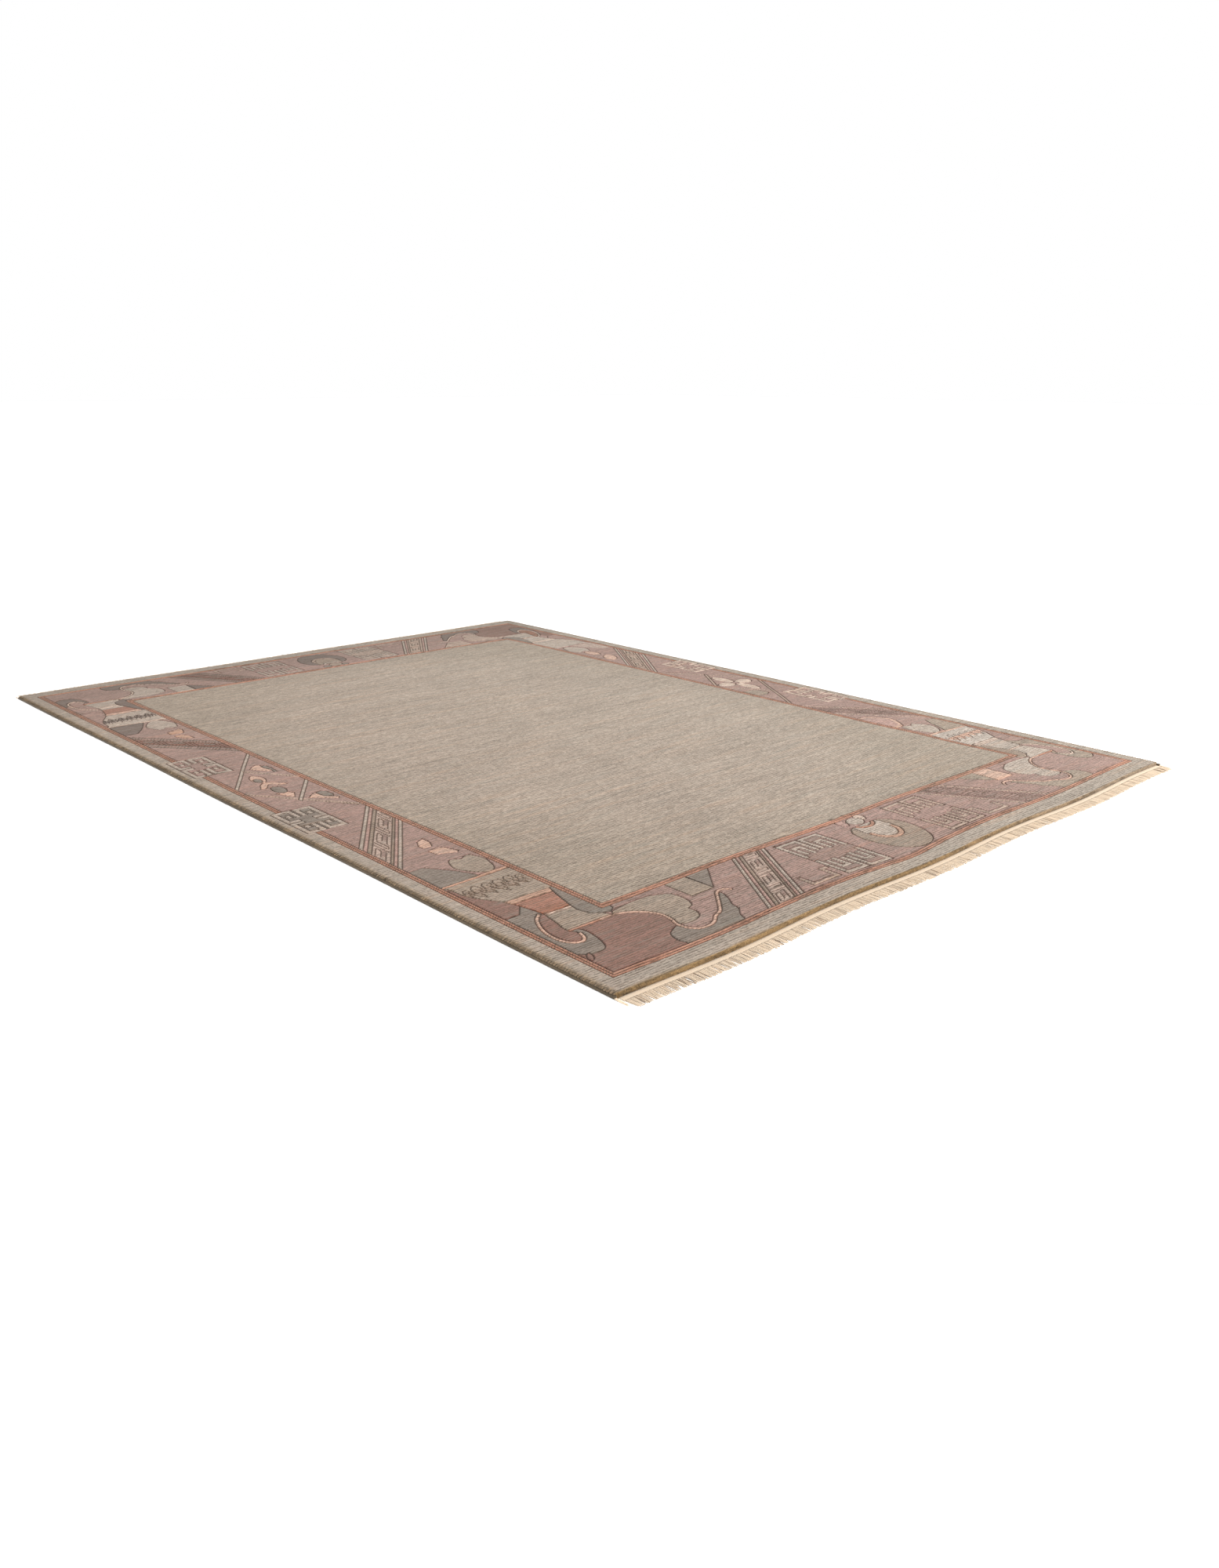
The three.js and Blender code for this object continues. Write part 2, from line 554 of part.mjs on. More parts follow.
// The cotton web and fringe of one end. Each strand has a cell of the web to itself and grows out of its outer edge.
// It is laid out as the far end, with "across" to the right and "out" away from the rug, and turned for the near one.
function fringe(name, far) {
  const body = new Body();
  const point = (across, out, z) => new THREE.Vector3(far * across, far * out, z);
  const pitch = (2 * WEB_HALF) / STRANDS;
  const edges = Array.from({ length: STRANDS + 1 }, (_, i) => {
    const across = i * pitch - WEB_HALF;
    const inner = pileEnd(far * across, far) + GAP;
    const outer = inner + WEB_DEPTH;
    return {
      across, outer,
      low: [point(across, inner, 0), point(across, outer, 0)],
      top: [point(across, inner, WEB_THICKNESS), point(across, outer, WEB_THICKNESS)],
    };
  });
  for (let i = 0; i < STRANDS; i++) {
    const [left, right] = [edges[i], edges[i + 1]];
    const across = (left.across + right.across) / 2;
    const outerAt = (x) => THREE.MathUtils.mapLinear(x, left.across, right.across, left.outer, right.outer);
    const tip = Math.min(outerAt(across) + STRAND_LENGTH + STRAND_UNEVEN * uneven(i, 2.1), HALF_REACH);
    const lean = STRAND_LEAN * uneven(i + 40 * far, 1.3);
    const sections = STRAND_SECTIONS.map(([share, width, height]) => {
      const place = (side, z) => {
        const x = across + lean * share ** 1.5 + (side * width) / 2;
        return point(x, THREE.MathUtils.lerp(outerAt(x), tip, share), z);
      };
      return [place(-1, 0), place(0, height), place(1, 0)];
    });
    const [footLeft, ridge, footRight] = sections[0];
    body.quad(left.low[0], left.low[1], footLeft, footLeft);
    body.quad(left.low[0], footLeft, footRight, right.low[0]);
    body.triangle(right.low[0], footRight, right.low[1]);
    body.quad(left.top[0], right.top[0], right.top[1], left.top[1]);
    body.quad(left.low[0], right.low[0], right.top[0], left.top[0]);
    body.triangle(left.low[1], left.top[1], footLeft);
    body.triangle(footLeft, left.top[1], ridge);
    body.triangle(left.top[1], right.top[1], ridge);
    body.triangle(ridge, right.top[1], footRight);
    body.triangle(footRight, right.top[1], right.low[1]);
    sections.slice(1).forEach((next, k) => body.wall(sections[k], next));
    body.triangle(...sections[sections.length - 1]);
  }
  const [first, end] = [edges[0], edges[STRANDS]];
  body.quad(first.low[1], first.low[0], first.top[0], first.top[1]);
  body.quad(end.low[0], end.low[1], end.top[1], end.top[0]);
  return body.mesh(name, cottonYarn);
}

const rug = new THREE.Group();
rug.add(
  pileCarpet(),
  selvedge('selvedge_left', -1),
  selvedge('selvedge_right', 1),
  fringe('fringe_near', -1),
  fringe('fringe_far', 1)
);

export default rug;
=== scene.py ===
"""A hand-knotted wool rug, 2.5 m by 3.5 m: a thick pile carpet with a carved and patterned border, an
overcast selvedge cord down each long side, and a fringed cotton web at each end."""

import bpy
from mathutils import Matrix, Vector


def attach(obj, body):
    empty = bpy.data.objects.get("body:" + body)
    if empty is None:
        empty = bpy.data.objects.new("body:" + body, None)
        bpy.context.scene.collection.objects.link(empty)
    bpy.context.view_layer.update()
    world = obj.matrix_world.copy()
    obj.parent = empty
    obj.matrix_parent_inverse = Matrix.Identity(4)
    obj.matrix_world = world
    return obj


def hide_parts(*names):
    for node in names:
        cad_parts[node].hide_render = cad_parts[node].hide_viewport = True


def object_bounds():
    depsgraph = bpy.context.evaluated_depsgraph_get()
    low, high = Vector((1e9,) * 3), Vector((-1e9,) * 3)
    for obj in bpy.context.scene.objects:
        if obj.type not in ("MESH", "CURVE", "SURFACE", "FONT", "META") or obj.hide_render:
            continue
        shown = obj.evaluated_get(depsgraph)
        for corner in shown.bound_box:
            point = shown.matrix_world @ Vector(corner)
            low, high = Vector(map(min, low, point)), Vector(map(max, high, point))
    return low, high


bl_info = {
    "name": "Carved Wool Rug",
    "version": (1, 0, 0),
    "blender": (4, 5, 0),
    "location": "3D View > Sidebar > Rug",
    "description": "A carved wool rug with selvedges and a fringe, and a studio to show it in",
    "category": "Add Mesh",
}

import itertools
import math
from collections import namedtuple

import bpy
import numpy as np
from bpy.props import FloatProperty, FloatVectorProperty, IntProperty, PointerProperty
from mathutils import Matrix, Vector
from mathutils.geometry import delaunay_2d_cdt
from mathutils.kdtree import KDTree

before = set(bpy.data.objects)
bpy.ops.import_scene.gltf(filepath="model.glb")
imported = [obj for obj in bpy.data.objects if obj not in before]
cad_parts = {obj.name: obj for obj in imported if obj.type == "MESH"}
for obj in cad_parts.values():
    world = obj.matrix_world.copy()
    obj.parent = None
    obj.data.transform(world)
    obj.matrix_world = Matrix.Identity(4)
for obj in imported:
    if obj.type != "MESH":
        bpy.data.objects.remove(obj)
CAD_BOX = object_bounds()

# Plan and pattern are in millimetres, and Blender's objects in metres
MM = 0.001

# Overall sizes, those of the solid pieces: out to the selvedges, out to the tips of the fringe, and up to
# the pile's face
HALF_WIDTH, HALF_REACH, PILE_TOP = (round(size / MM) for size in CAD_BOX[1])
HALF_LENGTH = 1750  # to the end of the pile, without the fringe
CORNER = 12  # radius of the pile's corners
GAP = 0.3  # between pieces that touch

# How the rug's edges wander in its plane, as on the solid pieces
End = namedtuple("End", "ripple length crest lean")
NEAR_END = End(6, 800, -100, 6)
FAR_END = End(3, 1100, 200, 0)
SIDE_RIPPLE = 2.5
SIDE_RIPPLE_LENGTH = 1400

# Two places where only the pattern wanders, as on the solid pieces: the outer guard sags at the near end,
# and the right side's pattern lies nearer to the near end than the left side's
Sag = namedtuple("Sag", "across half depth start full end")
SAG = Sag(-110, 130, 11, 1450, 1640, 1700)
SLIDE = 28
SLIDE_ALONG = 1450
SLIDE_ACROSS = 1225

# Smaller strayings of single motifs: the middle and reach of each, and how far it moves the pattern there
Drift = namedtuple("Drift", "x y reach dx dy")
DRIFTS = (
    Drift(1040, -970, 100, 18, -4),
    Drift(1150, -383, 130, 0, -24),
    Drift(-1150, 360, 130, 0, 15),
    Drift(880, -1520, 260, 14, 0),
    Drift(960, 1420, 200, -18, -16),
)

# The pile's flank, from the floor up to its face. The insets are how far a ring lies inside the rug's edge,
# at a side and at an end. Tuft is the share of the tufts' swelling, and notch that of the gaps' depth.
Ring = namedtuple("Ring", "height side_inset end_inset tuft notch")
FLANK = (
    Ring(0.0, 7.9, 0.6, 0.0, 0.0),
    Ring(7.7, 7.9, 0.1, 0.1, 0.0),
    Ring(8.6, 2.2, 0.3, 0.7, 0.0),
    Ring(10.6, 1.8, 0.9, 1.0, 0.4),
    Ring(12.3, 3.8, 2.6, 0.9, 1.0),
    Ring(PILE_TOP, 8.0, 6.5, 0.4, 0.5),
    Ring(PILE_TOP, 13.0, 11.0, 0.0, 0.0),
)
END_SLOPE = {
    # how much wider than usual the slope at the top of an end is, at places across the rug
    -1: (
        (-1250, 1.6), (-1120, 2.3), (-1000, 1.8), (-930, 0.8), (-860, 1.8), (-760, 2.0), (-640, 1.0),
        (-200, 0.9), (0, 0.5), (340, 0.9), (480, 0.4), (900, 0.5), (1250, 0.3),
    ),
    1: ((-1250, 1.0), (1250, 1.0)),
}
TUFT_PITCH = 9  # along a long side, one for each row that shows in the pile
TUFT_COLUMNS = 4  # of points
TUFT_SWELL = 1.9
TUFT_NOTCH = 2.8  # depth of the gaps between the tufts
TUFT_LEAN = 0.12  # of a tuft's pitch, at most
SMALLEST_TUFT = 0.55  # share of the largest one's swelling
KNOT_PITCH = 4.5
KNOT_SWELL = 0.25  # of the knots at an end, as a share of the tufts' swelling
SMALLEST_KNOT = 0.4
CORNER_COLUMNS = 7
CORNER_SWELL = 0.3

# Selvedges
CORD_RADIUS = 4.1
CORD_MIDDLE = 3.79  # of the cord above the floor, and inside the rug's edge
CORD_SIDES = 10
WRAP_PITCH = 5  # of the overcasting yarn
WRAP_COLUMNS = 3
WRAP_RELIEF = 0.7
WRAP_SLANT = 0.6  # of a pitch, from one side of the cord to the other
TAIL_LENGTH = 44
TAIL_START = 4  # how far inside the cord's end the tail starts
TAIL_STRANDS = 3
TAIL_PITCH = 2.2  # between the strands of a tail
TAIL_SIZES = (0.75, 1.0)  # shortest and longest, as shares of the tail's length
TAIL_DRIFT = (-3, 1)  # of a tip, inwards and outwards
TAIL_RADIUS = 1.25
TAIL_TAPER = 0.5
TAIL_STEPS = 8
TAIL_LOW, TAIL_RISE = 1.2, 1.6  # height of a tail's tip, and how much higher it starts
TAIL_VALUE = 3.0  # marks the tails among the points of a cord

# Cotton web and fringe
WEB_HALF = 1237
WEB_DEPTH = 18
WEB_RIPPLE = 0.3  # of the web's outer edge
WEB_VALUE = 0.5  # the web's place among the lighter and darker strands
RIB_RELIEF = 0.3
WEB_PROFILE = (
    # share of the web's depth, height, share of the ribs' relief
    (0.0, 0.0, 0.0), (1.0, 0.0, 0.0), (1.04, 1.1, 0.5), (0.97, 2.0, 1.0), (0.6, 2.3, 1.0), (0.3, 2.1, 1.0),
    (0.0, 2.3, 0.6),
)
STRAND_LENGTH = 38
STRAND_ROOT = 2  # how far inside the web a strand starts
STRAND_LIMIT = HALF_REACH + 4
STRAND_STRETCH = (0.88, 1.04)  # shortest and longest, as shares of the usual length
STRAND_TAPER = ((0, 0.7, 1), (1.0, 0.95, 0.7))  # shares of the length, shares of the radius there
STRAND_SIZES = (0.8, 1.1)  # thinnest and thickest, as shares of the usual radius
STRAND_SHIFT = 0.4  # of a root to either side of its even place, at most
STRAND_STRAY, STRAND_BEND, STRAND_LIFT = 1.6, 1.0, 0.7  # usual: of a tip, and of the middle, aside and up
STRAND_LOW, STRAND_RISE = 0.9, 0.7  # height of a tip in radii, and how much higher a root lies
STRAND_FLATNESS = 0.85
STRAND_SIDES = 5
STRAND_STEPS = 6
LOCK_PITCH = 15  # strands lean together into locks of about this width
LOCK_SIZES = (0.6, 1.4)  # narrowest and widest, as shares of that width
LOCK_PULL = 0.3  # of a strand's distance to its lock's middle, at most
LOCKS_DRAWN = 2.6  # half webs' worth of locks, more than enough for the narrow ones

# Carving: a V with eased shoulders, clipped along the outlines of the pattern
CARVE_HALF = 3.5  # from the middle of the V to its edge
CARVE_SHOULDER = 1.6  # from the middle to where the slope changes
SHOULDER_DEPTH = 0.5  # share of the depth at the shoulder
CURVE_STEP = 9
TEST_STEP = 4  # length of the pieces in which an outline is tested for whether it shows
SAMPLE_STEP = 1.5  # between the points from which the distance to the carving is measured
SLACK = 0.12  # how far a line may stray when points are left out
MERGE = 0.01  # points nearer to each other than this become one
MITRE_LIMIT = 2.0  # how many times its half width a line's corner may stick out
PROBE = 0.6  # how far beside an outline the zones at its two sides are looked up
TOGETHER = 0.8  # outlines nearer than this, and as good as parallel, count as one
TOGETHER_REACH = 0.75 * TEST_STEP  # between the middles of their pieces
PARALLEL = 0.97  # the least cosine between them
CLEAR = 0.94  # share of a shoulder's distance that it has to keep from other carved lines
TINY = 1e-9

# The pattern's guard lines, from the rug's centre lines: across its width, along its length
OUTER_GUARD = ((1195, 1687), (1186, 1678), (1177, 1668))
INNER_GUARD = ((960, 1388), (950, 1377), (940, 1366))
BAND_OUT, END_OUT = OUTER_GUARD[2]  # the patterned band lies between these
BAND_IN, END_IN = INNER_GUARD[0]

# Outlines in one quarter of the border, as points across and along the rug from its centre lines. The other
# quarters are mirror images, in other yarns.
COLLAR_SIDE = ((1166, 1056), (1162, 1114), (1147, 1150), (1114, 1205))
COLLAR = ((BAND_IN, 1028), (BAND_OUT, 1038), *COLLAR_SIDE, (BAND_IN, 1205))
COLLAR_LIP = ((BAND_IN, 1015), (BAND_OUT, 1026), (BAND_OUT, 1040), (BAND_IN, 1030))
TEETH = (
    (BAND_IN + 6, 1098), (1160, 1100), (1164, 1118), (1150, 1148), (1140, 1120), (1122, 1147), (1108, 1118),
    (1086, 1149), (1074, 1119), (1052, 1148), (1041, 1119), (1021, 1149), (1006, 1118), (988, 1148),
    (976, 1119), (966, 1142),
)
TOOTH_PLACES = (
    # across, shift along, scale
    (980, 2, 0.8), (1009, -3, 1.0), (1044, 2, 1.1), (1079, -1, 1.0), (1115, 4, 1.05), (1146, -1, 0.7),
)
TOOTH_STROKES = (
    # carved strokes of a tooth, from its place and in its scale: an arch, a fang and a nick between them
    ((14, 1104), (11, 1085), (2, 1074), (-9, 1075), (-14, 1087), (-13, 1098)),
    ((26, 1108), (22, 1124), (15, 1138), (8, 1151), (5, 1136), (7, 1122)),
    ((2, 1090), (-4, 1102), (-2, 1116), (-9, 1130)),
)
TOOTH_MIDDLE = 1110
SIDE_WEDGE = ((BAND_OUT, 1060), *COLLAR_SIDE, (1100, 1250), (1132, 1290), (BAND_OUT, 1295))
NECK_BAND = ((1114, 1205), (1106, 1230), (978, 1230), (970, 1205))
NECK_OUT, NECK_IN = (1087, 1327), (1005, 1327)  # where the neck meets the foot
NECK = ((1106, 1230), (1100, 1250), (1092, 1290), NECK_OUT, NECK_IN, (995, 1290), (986, 1255), (978, 1230))
NECK_SHADE = ((1091, 1300), NECK_OUT, NECK_IN, (998, 1300))
FOOT_RING = (NECK_OUT, (1089, 1336), (1007, 1336), NECK_IN)
FOOT_SIDE = ((1098, 1385), (1107, 1418), (1108, 1438))
FOOT = ((1089, 1336), *FOOT_SIDE, (965, 1437), (976, 1413), (1001, 1396), (1010, 1360), (1007, 1336))
SLIVER = (
    (BAND_IN, 1205), (970, 1205), (986, 1255), NECK_IN, (1010, 1360), (1001, 1396), (976, 1413),
    (956, 1418), (938, 1404), (934, END_IN), (BAND_IN, END_IN),
)
CORNER_GROUND = ((BAND_OUT, 1290), (BAND_OUT, END_OUT), (893, END_OUT))
FAR_SHADE_TOP = ((BAND_OUT, 1430),)
HOOK_SHADE_TOP = ((BAND_OUT, 1295), (1132, 1290), (1100, 1250), NECK_OUT, (1107, 1418), (1080, 1452))
HOOK_SHADE = (
    (BAND_OUT, 1550), (1151, 1567), (1126, 1570), (1102, 1559), (1085, 1520), (1077, 1476), (1080, 1452),
)
SCARF_HOOK = (
    (1096, 1318), (1124, 1345), (1149, 1398), (1157, 1452), (1147, 1488), (1124, 1503), (1104, 1490),
    (1094, 1462),
)
SCARF_WAVE = (
    (1108, 1438), (1030, 1437), (965, 1437), (930, 1449), (899, 1476), (881, 1510), (883, 1547),
    (893, 1577), (890, 1605), (873, 1626), (846, 1632), (816, 1624), (790, 1605), (762, 1594),
    (730, 1564), (700, 1532), (678, 1511), (655, 1510), (637, 1528),
)
SCARF_FOOT_POINTS = 12  # how much of the wave runs under the vase's foot
SCARF_TURN_POINTS = 40  # how much of it bounds the ground in the rug's corner
SCARF_CREST = (678, 1511)  # where the wave meets the end of its shade
SCARF_HALF = 5
WAVE_SHADE_OUT = ((893, 1577), (926, 1592), (946, 1607), (956, 1640), (950, END_OUT))
WAVE_SHADE_IN = ((752, END_OUT), (739, 1640), (716, 1616), (708, 1588), (690, 1562), (674, 1530))
CLOUD = (
    (965, 1437), (955, 1420), (905, 1411), (866, 1409), (830, 1411), (803, 1422), (778, 1436),
    (768, 1463), (771, 1498), (785, 1523), (806, 1531), (803, 1553), (816, 1577), (842, 1588),
    (872, 1588), (893, 1577),
)
SQUARE = ((744, END_IN), (745, 1488), (664, 1488), (668, END_IN))
CORNER_PIECE = ((668, END_IN), (664, 1488), (657, 1480), (578, END_IN))
STEPPED_LINE = ((457, 1596), (457, 1648), (364, 1648), (364, 1592), (340, 1592))
STEPPED_HALF = 7
DARK_LOBE = (
    (BAND_OUT, 888), (1132, 884), (1100, 926), (1078, 962), (1060, 1000), (1050, 1023), (BAND_OUT, 1030),
)
PALE_LOBE = (
    (1018, 898), (1034, 884), (1050, 887), (1064, 915), (1070, 947), (1058, 978), (1040, 1004),
    (1018, 1018), (996, 1014), (980, 990), (972, 962), (966, 938), (974, 905), (984, 884), (1002, 887),
)
PETAL_POINT = ((1003, 700), (1031, 713), (1047, 744), (1048, 768), (1018, 767), (1004, 736))
PETAL_FAN = ((1050, 792), (1009, 784), (998, 798), (984, 842), (993, 850), (1046, 828))
FAR_PETALS = (
    # as every leaf: across, along, half length, half width, turn of the long axis in degrees
    (1021, 715, 60, 30, 62), (1020, 836, 48, 24, 98),
)
PETAL_ARCH = (
    (BAND_IN, 880), (1000, 878), (1022, 853), (1046, 818), (1057, 787), (1046, 758), (1022, 724),
    (1000, 706), (BAND_IN, 702),
)
PETAL_ARCH_INSIDE = (
    (BAND_IN, 866), (994, 865), (1012, 843), (1034, 812), (1043, 788), (1034, 766), (1012, 738),
    (994, 721), (BAND_IN, 716),
)
SMALL_LEAF = (1163, 1577, 21, 8, 62)
LEAF_STEPS = 16

# Slanting bands of key fret: their two edges. The first band of a side is for the near left and far right
# quarters, and the second for the other two.
END_BAND = (((664, END_OUT), (482, END_IN)), ((522, END_OUT), (354, END_IN)))
SIDE_BANDS = (
    (((BAND_OUT, 650), (BAND_IN, 346)), ((BAND_OUT, 860), (BAND_IN, 537))),
    (((BAND_OUT, 692), (BAND_IN, 430)), ((BAND_OUT, 862), (BAND_IN, 604))),
)
BAND_STRIPES = (
    # from, to, in shares of the band's width, and the yarns
    (0.00, 0.10, "pale fawn pale slate"), (0.90, 1.00, "pale fawn pale slate"),
    (0.10, 0.20, "blush rose blush rose"), (0.81, 0.90, "blush rose blush rose"),
    (0.20, 0.30, "clay dusk fawn slate"), (0.74, 0.81, "clay dusk fawn slate"),
)
KEY_STARTS = (0.02, 0.35, 0.68)
KEY_CUTS = (
    # carved lines of one key: shares of the way along and across the band
    ((0.00, 0.38), (0.14, 0.38), (0.15, 0.45), (0.14, 0.51), (0.03, 0.51)),
    ((0.00, 0.63), (0.15, 0.63)),
    ((0.19, 0.35), (0.19, 0.70)),
    ((0.24, 0.34), (0.24, 0.68), (0.29, 0.68), (0.29, 0.40)),
)
KEY_PATCH = ((0.05, 0.53), (0.17, 0.53), (0.17, 0.62), (0.05, 0.62))

# Fret blocks of two by two cells. A cell's lines are in shares of the way out from the block's middle
END_FRET = {
    "across": (325, 165), "along": (1412, 1650), "gap": (20, 26), "half": 7,
    "yarns": "pale fawn pale pale", "ground": "dusk rose fawn rose",
    "lines": (
        ((0, 0.22), (0, 1), (1, 1), (1, 0)),
        ((0.32, 0.12), (0.32, 0.66), (0.68, 0.66), (0.68, 0.16)),
    ),
}
SIDE_FRET = {
    "across": (1209, 1094), "along": (246, 446), "gap": (22, 22), "half": 8,
    "yarns": "pale cream cream pale", "ground": "slate rose rose rose",
    "lines": (
        ((0, 0.3), (0, 1), (1, 1), (1, 0), (0.2, 0)),
        ((0.5, 0.34), (0.5, 0.62)),
    ),
}
FRET_RIM = 9  # how far the block's ground reaches past its lines

# Long and short strokes by the middle of the long sides, for the same quarters as the bands
LONG_STROKES = ((BAND_OUT, 22), (BAND_IN, 328)), ((BAND_OUT, 46), (BAND_IN, 384))
SHORT_STROKES = ((1082, 176), (BAND_IN, 2)), ((1072, 204), (BAND_IN, 44))
PLAIN_STROKE = 21  # width, measured along the rug
SPLIT_STROKE = 24

# The middle of the ends, one half of each outline
CUP = (
    (-64, 1452), (-90, 1478), (-103, 1520), (-101, 1560), (-88, 1602), (-62, 1641), (-32, 1659),
    (0, 1664),
)
BOWL = ((-54, 1450), (-60, 1500), (-53, 1540), (-30, 1568), (0, 1575))
BOWL_LINE = (
    ((-58, 1508), (-53, 1540), (-30, 1568), (0, 1575)),
    ((-45, 1504), (-40, 1532), (-22, 1553), (0, 1560)),
)
BOWL_BAR = (((-46, 1450), (-30, 1469), (0, 1477)), ((-34, 1447), (-20, 1460), (0, 1465)))
MIDDLE = 8  # the cup's middle lies this far to the right of the rug's
BUDS = (
    # across, along, half width, half height, yarns at the near and at the far end
    (-40, 1408, 17, 25, "blush", "slate"),
    (46, 1406, 16, 24, "cream", "slate"),
    (8, 1420, 31, 27, "pale", "sage"),
)

# The middle of the left side, a lotus, and of the right side, a flower: here the second number is below zero
# towards the near end. The diamonds beside them are drawn for their quarters, like the rest.
LOTUS_LEAF = (
    (1078, 147), (1064, 135), (1052, 108), (1058, 78), (1070, 60), (1084, 62), (1096, 84), (1095, 118),
)
LOTUS_HEART = ((1080, 114), (1072, 104), (1069, 84), (1078, 66), (1089, 68), (1094, 84), (1090, 104))
LOTUS_CHEVRON = (
    (1078, 60), (1050, 40), (1023, 4), (1034, -2), (1050, 10), (1066, 26), (1078, 30), (1092, 8),
    (1104, -4), (1118, 0), (1100, 40),
)
LOTUS_POD = (
    (1076, 2), (1060, -14), (1055, -38), (1064, -66), (1078, -76), (1094, -58), (1096, -34), (1090, -8),
)
LOTUS_KITE = ((1104, -68), (1082, -78), (1066, -74), (1057, -98), (1077, -137), (1092, -108))
NEAR_DIAMOND = ((1050, 171), (1030, 150), (1010, 137), (1005, 186), (974, 220), (984, 236), (1006, 212))
NEAR_DIAMOND_POOL = ((1008, 138), (990, 134), (975, 146), (974, 186), (982, 202), (1005, 186))
FAR_DIAMOND = (
    (1044, 214), (1028, 232), (1008, 246), (996, 236), (1000, 200), (990, 166), (1002, 160), (1022, 182),
)
FAR_DIAMOND_POOL = ((996, 232), (982, 222), (980, 186), (984, 136), (996, 140), (990, 166), (1000, 200))
SIDE_PATCH = ((1038, 214), (1004, 232), (963, 226), (963, 140), (1000, 138), (1032, 164))
FLOWER_PETALS = (
    (1062, -84, 66, 27, 90), (1062, 58, 62, 27, 90), (1012, -12, 42, 34, 0), (1110, -14, 42, 34, 0),
)
FLOWER_HEART = (1062, -12, 16, 18, 0)

QUARTERS = ((-1, -1), (1, -1), (1, 1), (-1, 1))  # near left, near right, far right, far left

SEED = 7


def dye(red, green, blue):
    """A linear colour from the usual numbers up to 255."""
    shares = (red / 255, green / 255, blue / 255)
    return tuple(s / 12.92 if s <= 0.04045 else ((s + 0.055) / 1.055) ** 2.4 for s in shares)


# What a user may change


def yarn_colour(name, description, rgb):
    return FloatVectorProperty(
        name=name, description=description, subtype="COLOR", size=3, min=0, max=1, default=dye(*rgb)
    )


class RugYarns(bpy.types.PropertyGroup):
    shale: yarn_colour("Shale", "Ground of the near left bands", (147, 129, 119))
    clay: yarn_colour("Clay", "Teeth on the collars", (123, 108, 96))
    gilt: yarn_colour("Gilt", "Bands of the vases' necks", (151, 120, 103))
    field: yarn_colour("Field", "Wool of the plain field", (132, 121, 109))
    margin: yarn_colour("Margin", "Wool outside the border", (136, 126, 116))
    sage: yarn_colour("Sage", "Grey green of clouds and collars", (127, 114, 102))
    mist: yarn_colour("Mist", "Palest grey, in the collars", (156, 145, 136))
    pale: yarn_colour("Pale sage", "Lighter grey green", (146, 134, 124))
    slate: yarn_colour("Slate", "Blue grey of the shades", (104, 95, 88))
    dark: yarn_colour("Dark slate", "Darkest wool", (90, 78, 74))
    plum: yarn_colour("Plum", "Ground of the corners", (107, 79, 71))
    rose: yarn_colour("Rose", "Ground of the border", (129, 105, 98))
    dusk: yarn_colour("Dusk", "Ground of the slanting bands", (120, 99, 92))
    coral: yarn_colour("Coral", "Guard lines", (144, 106, 89))
    blush: yarn_colour("Blush", "Inner stripes of the slanting bands", (146, 118, 110))
    ember: yarn_colour("Ember", "Necks of the vases", (127, 88, 74))
    brick: yarn_colour("Brick", "Shades on the necks", (119, 79, 63))
    peach: yarn_colour("Peach", "Petals and bands", (166, 137, 122))
    cream: yarn_colour("Cream", "Stripes and scarves", (167, 148, 135))
    fawn: yarn_colour("Fawn", "Fret blocks and quiet lines", (145, 126, 114))
    gold: yarn_colour("Gold", "Cut face of the pile at the ends", (109, 85, 51))
    ochre: yarn_colour("Ochre", "Tips of the tufts along the sides", (109, 88, 61))
    # The selvedge's own dark brown, made darker still, partly as painted shade under the pile's edge
    overcast: yarn_colour("Selvedge", "Yarn of the overcast selvedges", (89, 77, 61))
    cotton: yarn_colour("Cotton", "Web and fringe", (210, 191, 168))


class RugSizes(bpy.types.PropertyGroup):
    carve_depth: FloatProperty(
        name="Carving", description="Depth of the carved outlines", default=3.4 * MM, min=0, max=8 * MM,
        unit="LENGTH",
    )
    row_pitch: FloatProperty(
        name="Row", description="Distance between the rows that show in the pile", default=9 * MM,
        min=2 * MM, max=20 * MM, unit="LENGTH",
    )
    strands: IntProperty(
        name="Strands", description="Fringe strands at each end", default=960, min=100, max=1200
    )
    strand_width: FloatProperty(
        name="Strand", description="Thickness of a fringe strand", default=2.5 * MM, min=MM, max=4 * MM,
        unit="LENGTH",
    )


# The rug's plan


def settle(points):
    """Where points of the straight pattern lie on the rug, whose edges and pattern wander a little."""
    x, y = np.asarray(points, float).T
    outwards = np.zeros(len(x))
    for end, here in ((NEAR_END, y < 0), (FAR_END, y >= 0)):
        ripple = end.ripple * np.cos(2 * np.pi * (x - end.crest) / end.length)
        outwards += here * (ripple - end.lean * x / HALF_WIDTH) * (y / HALF_LENGTH) ** 2
    swing = (1 - np.cos(2 * np.pi * y / SIDE_RIPPLE_LENGTH)) / 2
    inwards = SIDE_RIPPLE * swing * x / HALF_WIDTH
    sags = smoothstep(-y, SAG.start, SAG.full) * (1 - smoothstep(-y, SAG.end, HALF_LENGTH))
    sags = SAG.depth * sags * np.exp(-(((x - SAG.across) / SAG.half) ** 2))
    slides = (x > 0) & (x < SLIDE_ACROSS) & (y < 0) & (y > -SLIDE_ALONG)
    slides = slides * SLIDE * (x / HALF_WIDTH) ** 2 * np.sin(np.pi * y / SLIDE_ALONG) ** 2
    return np.stack([x - inwards, y + np.sign(y) * outwards - sags - slides], 1)


def smoothstep(values, low, high):
    share = np.clip((values - low) / (high - low), 0, 1)
    return share * share * (3 - 2 * share)


